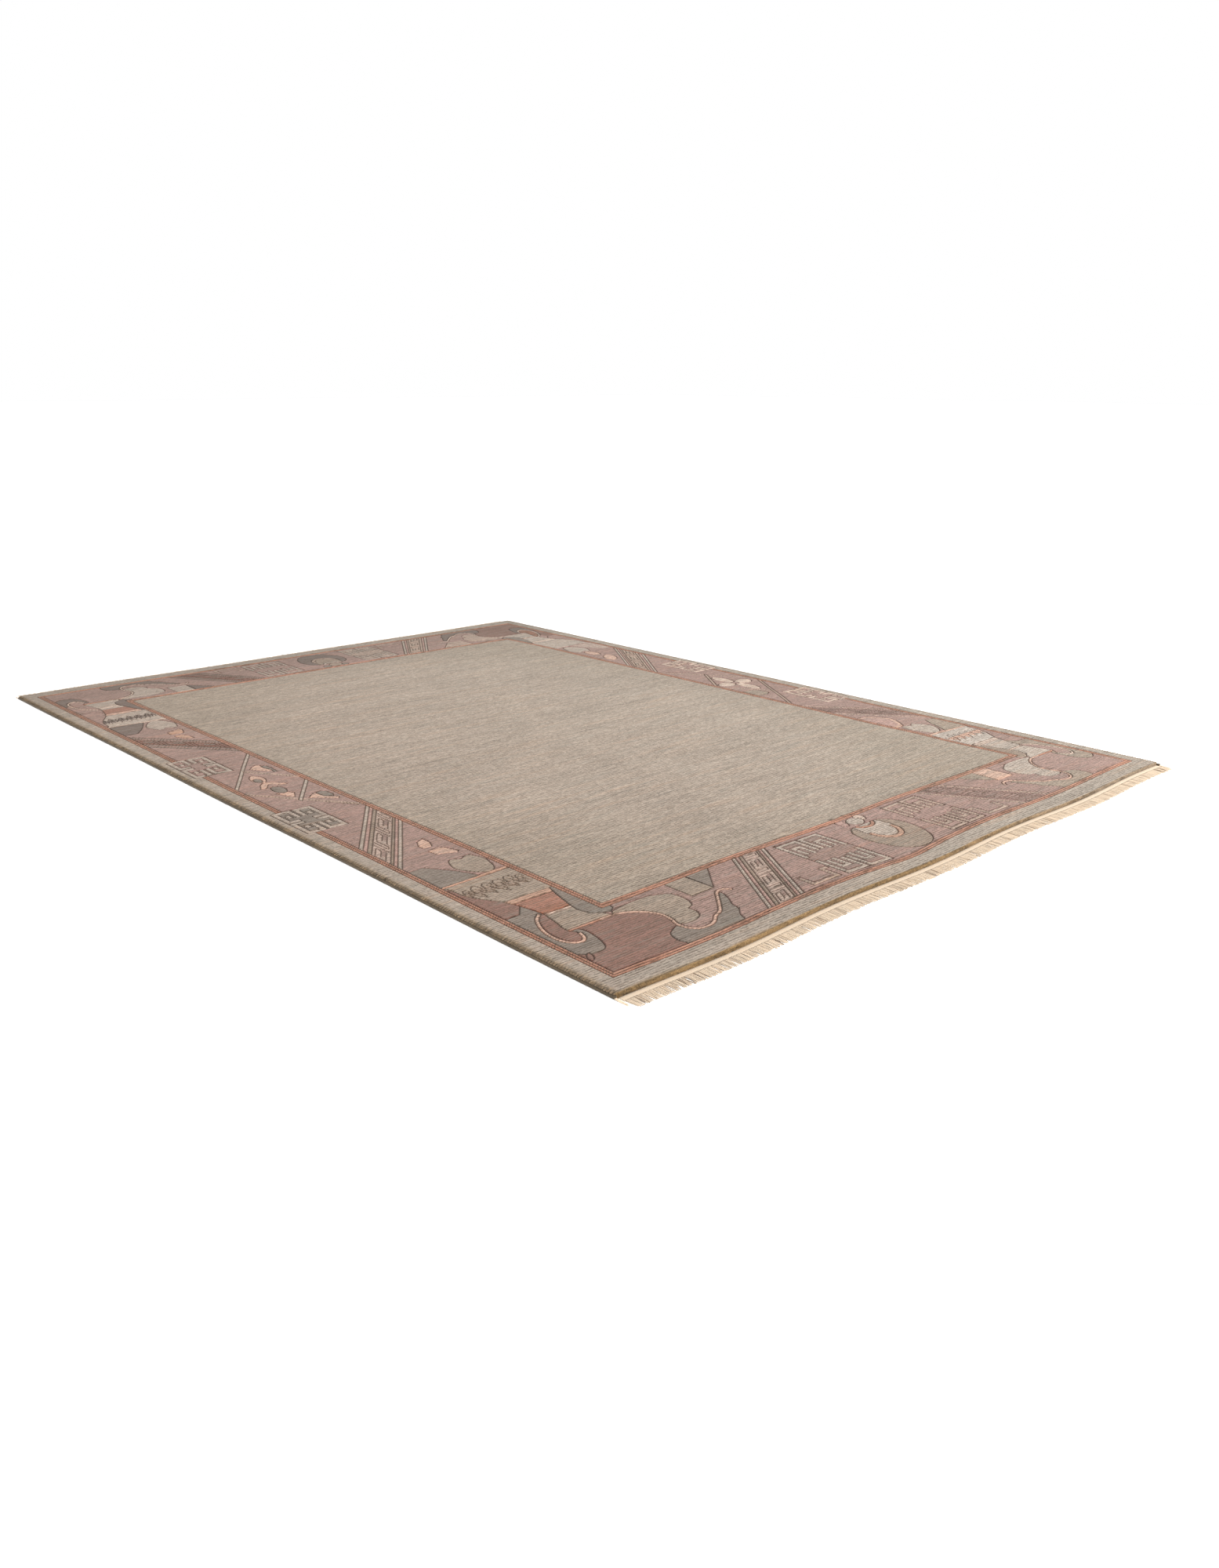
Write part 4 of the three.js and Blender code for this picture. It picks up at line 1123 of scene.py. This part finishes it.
def fringe_mesh(name, far, sizes, material):
    """The cotton web and fringe of one end. Strands grow out of the web and lean together in locks."""
    random = np.random.default_rng(SEED + 20 + far)
    tubes = Tubes()
    add_web(tubes, far, sizes.strands, random)
    radius = sizes.strand_width / MM / 2
    locks = random.uniform(*LOCK_SIZES, int(LOCKS_DRAWN * WEB_HALF / LOCK_PITCH)) * LOCK_PITCH
    locks = np.cumsum(locks) - WEB_HALF
    first = -WEB_HALF + STRAND_ROOT
    pitch = 2 * (WEB_HALF - STRAND_ROOT) / sizes.strands
    share = np.linspace(0, 1, STRAND_STEPS + 1)
    arch = np.sin(math.pi * share)
    for i in range(sizes.strands):
        x = first + pitch * (i + 0.5) + random.uniform(-STRAND_SHIFT, STRAND_SHIFT)
        lock = locks[np.argmin(np.abs(locks - x))]
        pull = (lock - x) * random.uniform(0.0, LOCK_PULL) + random.normal(0, STRAND_STRAY)
        bend = random.normal(0, STRAND_BEND)
        root = pile_end(np.array([x]), far)[0] + GAP + WEB_DEPTH - STRAND_ROOT
        length = min(STRAND_LENGTH * random.uniform(*STRAND_STRETCH) + STRAND_ROOT, STRAND_LIMIT - root)
        xs = x + pull * share**1.6 + bend * arch
        ys = far * (root + length * share)
        zs = radius * STRAND_LOW + STRAND_RISE * (1 - share) ** 2
        zs = zs + abs(random.normal(0, STRAND_LIFT)) * arch
        radii = radius * np.interp(share, *STRAND_TAPER) * random.uniform(*STRAND_SIZES)
        path = np.column_stack([xs, ys, zs])
        tubes.add(path, radii, STRAND_SIDES, value=random.uniform(0, 1), flat=STRAND_FLATNESS)
    return tubes.object(name, "strand", material)


# Shaders


def maths(operation):
    """The two methods that write a Math node as a sum: with the wire first, and with the wire second."""
    def ahead(wire, other):
        return wire.shader.node("ShaderNodeMath", {"operation": operation}, {0: wire, 1: other})

    def behind(wire, other):
        return wire.shader.node("ShaderNodeMath", {"operation": operation}, {0: other, 1: wire})

    return ahead, behind


class Wire:
    """An output of a node, which takes part in sums with numbers and with other outputs."""

    __add__, __radd__ = maths("ADD")
    __sub__, __rsub__ = maths("SUBTRACT")
    __mul__, __rmul__ = maths("MULTIPLY")
    __truediv__, __rtruediv__ = maths("DIVIDE")
    __pow__, __rpow__ = maths("POWER")

    def __init__(self, shader, socket):
        self.shader = shader
        self.socket = socket

    def out(self, name):
        """Another output of the same node."""
        return Wire(self.shader, self.socket.node.outputs[name])

    def __abs__(self):
        return self.shader.node("ShaderNodeMath", {"operation": "ABSOLUTE"}, {0: self})


class Shader:
    """The nodes of a material or of a world."""

    def __init__(self, owner):
        self.owner = owner
        owner.use_nodes = True
        self.tree = owner.node_tree
        self.surface = next(n for n in self.tree.nodes if n.type in ("BSDF_PRINCIPLED", "BACKGROUND"))

    def node(self, kind, settings=None, inputs=None, output=0):
        """A new node: its settings first, then what its sockets get. Gives one of its outputs."""
        made = self.tree.nodes.new(kind)
        for name, value in (settings or {}).items():
            setattr(made, name, value)
        for key, value in (inputs or {}).items():
            self.feed(made.inputs[key], value)
        return Wire(self, made.outputs[output])

    def feed(self, socket, value):
        """Links a wire to a socket, or sets the socket's own number, vector or colour."""
        if isinstance(value, Wire):
            self.tree.links.new(value.socket, socket)
        elif socket.type == "RGBA":
            socket.default_value = (*value, 1.0)
        else:
            socket.default_value = value

    def set(self, **values):
        """Feeds the main shader. A socket's spaces are written as underscores."""
        for name, value in values.items():
            self.feed(self.surface.inputs[name.replace("_", " ")], value)

    def place(self):
        return self.node("ShaderNodeTexCoord", output="Object")

    def noises(self, place, table):
        """A soft noise for each row of a table, by name."""
        made = {}
        for name, row in table.items():
            scaled = self.node("ShaderNodeVectorMath", {"operation": "MULTIPLY"}, {0: place, 1: row.scale})
            sockets = {"Vector": scaled, "Scale": 1.0, "Detail": row.detail, "Roughness": row.roughness}
            made[name] = self.node("ShaderNodeTexNoise", inputs=sockets)
        return made

    def value(self, name):
        return self.node("ShaderNodeAttribute", {"attribute_name": name}, output="Fac")

    def colour(self, name):
        return self.node("ShaderNodeAttribute", {"attribute_name": name}, output="Color")

    def wave(self, turns):
        """A wave between 0 and 1 that starts at 1, once for each whole turn."""
        return self.node("ShaderNodeMath", {"operation": "COSINE"}, {0: turns * (2 * math.pi)}) * 0.5 + 0.5

    def share(self, value, layer):
        """How much there is of a layer: none before its start, and its whole share where it is full."""
        sockets = {"Value": value, "From Min": layer.start, "From Max": layer.full}
        return self.node("ShaderNodeMapRange", {"interpolation_type": "SMOOTHSTEP"}, sockets) * layer.share

    def mix(self, factor, first, second, blend="MIX"):
        """Two colours mixed. A wire with a number counts as a grey."""
        settings = {"data_type": "RGBA", "blend_type": blend}
        return self.node("ShaderNodeMix", settings, {0: factor, 6: first, 7: second}, output=2)

    def tinted(self, colour, tint):
        """A colour multiplied by another one, or by a grey."""
        return self.mix(1.0, colour, tint, "MULTIPLY")

    def bump(self, height, distance, strength=1.0):
        sockets = {"Height": height, "Distance": distance, "Strength": strength}
        return self.node("ShaderNodeBump", inputs=sockets)


# The yarns' noises: grains to the metre across, along and upwards, levels of detail, roughness, and how much
# lighter and darker they make the yarn
Noise = namedtuple("Noise", "scale detail roughness tone", defaults=(0.5, None))
WOOL_NOISES = {
    "wander": Noise((5, 10, 5), 2),
    "dashes": Noise((50, 130, 60), 1, 0.4),
    "streaks": Noise((14, 230, 30), 2, 0.6, 0.9),
    "long_streaks": Noise((5, 100, 5), 2, 0.6, 0.6),
    "broad_streaks": Noise((2.2, 38, 2), 3, 0.6, 0.8),
    "knots": Noise((110, 300, 210), 1, 0.5, 1.3),
    "flecks": Noise((230, 420, 300), 1, 0.5, 1.3),
    "abrash": Noise((0.7, 9, 1), 2, 0.5, 0.3),
    # painted light: broad, soft lighter and darker smudges where the pile leans
    "shading": Noise((2.2, 2.6, 2), 3, 0.55, 0.3),
    "cool": Noise((10, 90, 40), 2),
    "fibres": Noise((900, 900, 500), 2, 0.6),
}
OVERCAST_NOISES = {"plies": Noise((300, 700, 300), 2, 0.6, 1.6), "patches": Noise((30, 12, 30), 2, 0.5, 1.1)}
COTTON_NOISES = {"twist": Noise((350, 1100, 350), 2, 0.6, 0.35), "tan_patches": Noise((45, 20, 45), 3, 0.6)}

# Layers of shade and colour: the value where one starts, the value where it is full, and its share there.
# The value is that of a noise or of the points, or a place in metres.
Layer = namedtuple("Layer", "start full share", defaults=(1.0,))
DASHES = Layer(0.34, 0.6)
FAR_SHADE = Layer(1.2, 1.6, 0.2)
COOLNESS = Layer(0.5, 0.72, 0.2)
BROWNNESS = Layer(0.5, 0.75, 0.5)
MIDDLE_LIGHT = Layer(1.2, 0.7)  # painted light, in sizes of the lit oval
SIDE_LIGHT = Layer(-1.25, 1.25)
TUFT_TIPS = Layer(1.222, 1.246, 0.7)
GILDING_LOSS = Layer(-0.2, 1.0, 0.4)
CARVING_SHADOW = Layer(0.12, 0.8, 0.8)
TAILS = Layer(TAIL_VALUE / 2, TAIL_VALUE)
TAN_PATCHES = Layer(0.42, 0.75, 0.3)
FRINGE_SHADE = Layer(0.18, 0.05, 0.6)

WOOL_TONE, OVERCAST_TONE, COTTON_TONE = 1.25, 1.15, 0.91
STRAND_TONE = 0.3  # how much lighter the lightest strand is than the darkest
# How much darker painted shade makes the dashes and gaps between the rows of knots, and the grooves between
# the selvedge's wraps
DASH_SHADE, GAP_SHADE, GROOVE_SHADE = 0.48, 0.12, 0.6
DASH_SHADOW_SHARE, VALLEY_SHADOW_SHARE, GILDING = 0.34, 0.85, 0.9  # greatest shares of these colours: the painted shade of the dashes and of the flank's valleys, and the gold
TIP_TONE, TIP_KNOTS = 0.1, 1.8  # of a tuft's tip: its darkest, and what the knots add
ROW_WANDER = 1.3  # of a row of knots, in rows
GAP_NARROWING = 1.5  # the power that narrows the gaps between the rows
LIT_OVAL = (0.95, 1.4)  # half its size across and along, in metres
ROW_RELIEF = 0.7
WOOL_RELIEF = {"knots": 0.8, "streaks": 0.4, "fibres": 0.25}
# The first and the last are colours of painted shade, in the gaps between the rows and in the valleys
# between the tufts; the cool grey tints random patches
ROW_GAP_SHADOW, COOL_GREY, VALLEY_SHADOW = dye(96, 78, 62), dye(122, 124, 116), dye(46, 38, 30)
# The first tints the carved grooves with painted shade; the second tints random broad streaks
CARVING_SHADOW_TINT, BROWN_TINT = dye(122, 97, 86), dye(236, 214, 196)
MIDDLE_LIGHT_TINT = (1.15, 1.15, 1.18)  # painted light, making the field's middle lighter and paler
# Painted light and shade: the rug's left side darker than its right side
SHADED_LEFT_TINT, LIT_RIGHT_TINT = (0.94, 0.92, 0.91), (0.97, 0.99, 1.0)
WOOL_SHEEN = dye(235, 222, 205)
# Tan for random patches of the cotton, and the colour of the painted shade on the darkest strands
TAN_COTTON, SHADED_COTTON = dye(205, 178, 150), dye(122, 96, 74)


def toned(tone, table, noises):
    """A tone, made lighter and darker by the noises of a table, whose middle is 0.5."""
    for name, row in table.items():
        if row.tone:
            tone = tone + (noises[name] - 0.5) * row.tone
    return tone


def wool_material(sizes, yarns):
    """Knotted wool pile: rows of knots across the rug, flecked and streaked, with painted shade between the
    rows and in the carving.
    """
    shader = Shader(bpy.data.materials.new("wool_pile"))
    place = shader.place()
    spot = shader.node("ShaderNodeSeparateXYZ", inputs={0: place})
    across, along = spot.out("X"), spot.out("Y")
    noises = shader.noises(place, WOOL_NOISES)
    # Painted shade between the rows of knots: darker gaps, darker still in dashes along them
    gaps = shader.wave(along / sizes.row_pitch + noises["wander"] * ROW_WANDER) ** GAP_NARROWING
    dashes = gaps * shader.share(noises["dashes"], DASHES)

    tone = toned(WOOL_TONE, WOOL_NOISES, noises) - dashes * DASH_SHADE - gaps * GAP_SHADE
    # Painted shade: darker towards the far end
    tone = tone * (1.0 - shader.share(along, FAR_SHADE))
    colour = shader.tinted(shader.colour("yarn"), tone)
    colour = shader.mix(dashes * DASH_SHADOW_SHARE, colour, ROW_GAP_SHADOW)
    colour = shader.mix(shader.share(noises["cool"], COOLNESS), colour, COOL_GREY)
    brown = shader.share(noises["broad_streaks"], BROWNNESS)
    colour = shader.mix(brown, colour, shader.tinted(colour, BROWN_TINT))
    # A painted pool of light: the middle of the rug lighter than its corners
    from_middle = ((across / LIT_OVAL[0]) ** 2.0 + (along / LIT_OVAL[1]) ** 2.0) ** 0.5
    colour = shader.mix(shader.share(from_middle, MIDDLE_LIGHT), colour, shader.tinted(colour, MIDDLE_LIGHT_TINT))
    # Painted light and shade: darker towards the left side, lighter towards the right
    left, right = shader.tinted(colour, SHADED_LEFT_TINT), shader.tinted(colour, LIT_RIGHT_TINT)
    colour = shader.mix(shader.share(across, SIDE_LIGHT), left, right)

    tips = shader.tinted(yarns.ochre, tone * (TIP_TONE + noises["knots"] * TIP_KNOTS))
    colour = shader.mix(shader.share(abs(across), TUFT_TIPS), colour, tips)
    # Painted shade in the valleys between the tufts of the flank
    colour = shader.mix(shader.value("valley") * VALLEY_SHADOW_SHARE, colour, VALLEY_SHADOW)
    gilding = shader.value("end_flank") * (GILDING - shader.share(across, GILDING_LOSS))
    colour = shader.mix(gilding, colour, shader.tinted(yarns.gold, tone))
    # Painted shade in the carved grooves, deepest at their bottoms
    carved = shader.share(shader.value("carved"), CARVING_SHADOW)
    colour = shader.mix(carved, colour, shader.tinted(colour, CARVING_SHADOW_TINT))

    relief = (1.0 - dashes) * ROW_RELIEF
    for name, share in WOOL_RELIEF.items():
        relief = relief + noises[name] * share
    shader.set(
        Base_Color=colour, Roughness=0.94, Specular_IOR_Level=0.12, Sheen_Weight=0.15, Sheen_Roughness=0.6,
        Sheen_Tint=WOOL_SHEEN, Normal=shader.bump(relief, distance=0.0016, strength=0.8),
    )
    return shader.owner


def overcast_material(yarns):
    """Dark wool yarn, wrapped round a cord, with painted shade in the grooves between the wraps."""
    shader = Shader(bpy.data.materials.new("overcast_wool"))
    noises = shader.noises(shader.place(), OVERCAST_NOISES)
    groove = shader.value("groove")
    tail = shader.share(groove, TAILS)
    # Painted shade in the grooves between the wraps, but none on the tails
    tone = toned(OVERCAST_TONE, OVERCAST_NOISES, noises) - groove * (1.0 - tail) * GROOVE_SHADE
    colour = shader.tinted(shader.mix(tail, yarns.overcast, yarns.cotton), tone)
    shader.set(
        Base_Color=colour, Roughness=0.9, Specular_IOR_Level=0.15, Sheen_Weight=0.15, Sheen_Roughness=0.5,
        Normal=shader.bump(noises["plies"], distance=0.0006, strength=0.8),
    )
    return shader.owner


def cotton_material(yarns):
    """Undyed cotton, strand by strand a little lighter or darker, tan in patches, with painted shade on the
    darkest strands.
    """
    shader = Shader(bpy.data.materials.new("cotton_yarn"))
    noises = shader.noises(shader.place(), COTTON_NOISES)
    strand = shader.value("strand")
    tone = toned(COTTON_TONE + (strand - 0.5) * STRAND_TONE, COTTON_NOISES, noises)
    # Tan in random patches
    colour = shader.mix(shader.share(noises["tan_patches"], TAN_PATCHES), shader.tinted(yarns.cotton, tone), TAN_COTTON)
    # Painted shade: the strands with the lowest values darkened, as if shaded between the locks
    colour = shader.mix(shader.share(strand, FRINGE_SHADE), colour, SHADED_COTTON)
    shader.set(
        Base_Color=colour, Roughness=0.85, Specular_IOR_Level=0.2, Sheen_Weight=0.1, Sheen_Roughness=0.5,
        Normal=shader.bump(noises["twist"], distance=0.0006, strength=0.8),
    )
    return shader.owner


def floor_material():
    shader = Shader(bpy.data.materials.new("studio_floor"))
    shader.set(Base_Color=(0.9, 0.9, 0.9), Roughness=0.8, Specular_IOR_Level=0.1)
    return shader.owner


# The studio

CAMERA_PLACE = (-2.88199, -3.49791, 1.23717)
CAMERA_RIGHT = (0.73446, -0.67865, 0.00282)
CAMERA_DOWN = (-0.20463, -0.22541, -0.95253)
CAMERA_FORWARD = (0.64707, 0.69902, -0.30442)
CAMERA_LENS = 29.29
SENSOR_WIDTH = 36  # along the picture's long side
FLOOR_HALF = 60.0
FLOOR_DROP = 0.05  # below the rug's back, in millimetres
SUN_WAY = (-0.3, -0.9, 1.0)  # towards the sun
SUN_STRENGTH = 3.0
SUN_ANGLE = 12  # degrees across, for soft shadows
LAMP_PLACE = (2.6, -2.6, 1.9)
LAMP_TARGET = (0.6, -1.0, 0.0)
LAMP_SIZE = 1.2
LAMP_POWER = 47
LIGHT_COLOUR = (1.0, 0.985, 0.965)
SKY_STRENGTH = 1.0  # near the horizon
SKY_FADE = Layer(0.28, 1.0, 0.4)  # between these heights of the direction, by so much


def add_camera():
    data = bpy.data.cameras.new("photo_camera")
    data.sensor_fit = "AUTO"
    data.sensor_width = SENSOR_WIDTH
    data.lens = CAMERA_LENS
    camera = bpy.data.objects.new("photo_camera", data)
    bpy.context.scene.collection.objects.link(camera)
    turn = Matrix((CAMERA_RIGHT, [-v for v in CAMERA_DOWN], [-v for v in CAMERA_FORWARD])).transposed()
    camera.matrix_world = Matrix.Translation(CAMERA_PLACE) @ turn.to_4x4()
    bpy.context.scene.camera = camera


def add_floor():
    corners = [(x * FLOOR_HALF / MM, y * FLOOR_HALF / MM, -FLOOR_DROP) for x, y in QUARTERS]
    new_object("studio_floor", corners, [(0, 1, 2, 3)], floor_material())


def add_light(name, kind, energy, place, target, **settings):
    data = bpy.data.lights.new(name, kind)
    data.energy = energy
    data.color = LIGHT_COLOUR
    for key, value in settings.items():
        setattr(data, key, value)
    light = bpy.data.objects.new(name, data)
    bpy.context.scene.collection.objects.link(light)
    light.location = place
    light.rotation_mode = "QUATERNION"
    light.rotation_quaternion = (Vector(target) - Vector(place)).to_track_quat("-Z", "Y")


def add_lights():
    add_light("sun", "SUN", SUN_STRENGTH, SUN_WAY, (0, 0, 0), angle=math.radians(SUN_ANGLE))
    add_light("lamp", "AREA", LAMP_POWER, LAMP_PLACE, LAMP_TARGET, shape="DISK", size=LAMP_SIZE)


def add_sky():
    """A white sky, brightest near the horizon."""
    shader = Shader(bpy.data.worlds.new("studio_sky"))
    way = shader.node("ShaderNodeTexCoord", output="Generated")
    height = shader.node("ShaderNodeSeparateXYZ", inputs={0: way}).out("Z")
    shader.set(Color=(1, 1, 1), Strength=SKY_STRENGTH - shader.share(height, SKY_FADE))
    bpy.context.scene.world = shader.owner
    bpy.context.scene.view_settings.view_transform = "Standard"


# Operators, panel and registration


def finish_piece(piece, node):
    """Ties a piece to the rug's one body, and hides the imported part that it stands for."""
    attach(piece, "root")
    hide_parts(node)


class RUG_OT_selvedges(bpy.types.Operator):
    """Make the overcast selvedge cords"""

    bl_idname = "rug.selvedges"
    bl_label = "Selvedges"

    def execute(self, context):
        material = overcast_material(context.scene.rug_yarns)
        for name, right in (("left", -1), ("right", 1)):
            piece = selvedge_mesh(f"selvedge_{name}_cord", right, material)
            finish_piece(piece, f"selvedge_{name}")
        return {"FINISHED"}


class RUG_OT_fringes(bpy.types.Operator):
    """Make the cotton web and fringe at both ends"""

    bl_idname = "rug.fringes"
    bl_label = "Fringes"

    def execute(self, context):
        material = cotton_material(context.scene.rug_yarns)
        for name, far in (("near", -1), ("far", 1)):
            piece = fringe_mesh(f"fringe_{name}_cotton", far, context.scene.rug_sizes, material)
            finish_piece(piece, f"fringe_{name}")
        return {"FINISHED"}


class RUG_OT_carpet(bpy.types.Operator):
    """Make the pile carpet, after the selvedges and fringes that belong to it"""

    bl_idname = "rug.carpet"
    bl_label = "Pile carpet"

    def execute(self, context):
        sizes, yarns = context.scene.rug_sizes, context.scene.rug_yarns
        carpet = carpet_mesh(sizes, yarns, wool_material(sizes, yarns))
        finish_piece(carpet, "pile_carpet")
        return {"FINISHED"}


class RUG_OT_studio(bpy.types.Operator):
    """Make the floor, the light and the camera"""

    bl_idname = "rug.studio"
    bl_label = "Studio"

    def execute(self, context):
        add_floor()
        add_lights()
        add_sky()
        add_camera()
        return {"FINISHED"}


class RUG_PT_panel(bpy.types.Panel):
    """The rug's sizes, yarns and operators"""

    bl_idname = "RUG_PT_panel"
    bl_label = "Carved Wool Rug"
    bl_space_type = "VIEW_3D"
    bl_region_type = "UI"
    bl_category = "Rug"

    def draw(self, context):
        for group in (context.scene.rug_sizes, context.scene.rug_yarns):
            box = self.layout.box()
            for name in type(group).__annotations__:
                box.prop(group, name)
        for operator in OPERATORS:
            self.layout.operator(operator.bl_idname)


OPERATORS = (RUG_OT_selvedges, RUG_OT_fringes, RUG_OT_carpet, RUG_OT_studio)
CLASSES = (RugYarns, RugSizes, *OPERATORS, RUG_PT_panel)


def register():
    for item in CLASSES:
        bpy.utils.register_class(item)
    bpy.types.Scene.rug_yarns = PointerProperty(type=RugYarns)
    bpy.types.Scene.rug_sizes = PointerProperty(type=RugSizes)


def unregister():
    del bpy.types.Scene.rug_sizes
    del bpy.types.Scene.rug_yarns
    for item in reversed(CLASSES):
        bpy.utils.unregister_class(item)


def main():
    register()
    bpy.ops.rug.selvedges()
    bpy.ops.rug.fringes()
    bpy.ops.rug.carpet()
    bpy.ops.rug.studio()


if __name__ == "__main__":
    main()
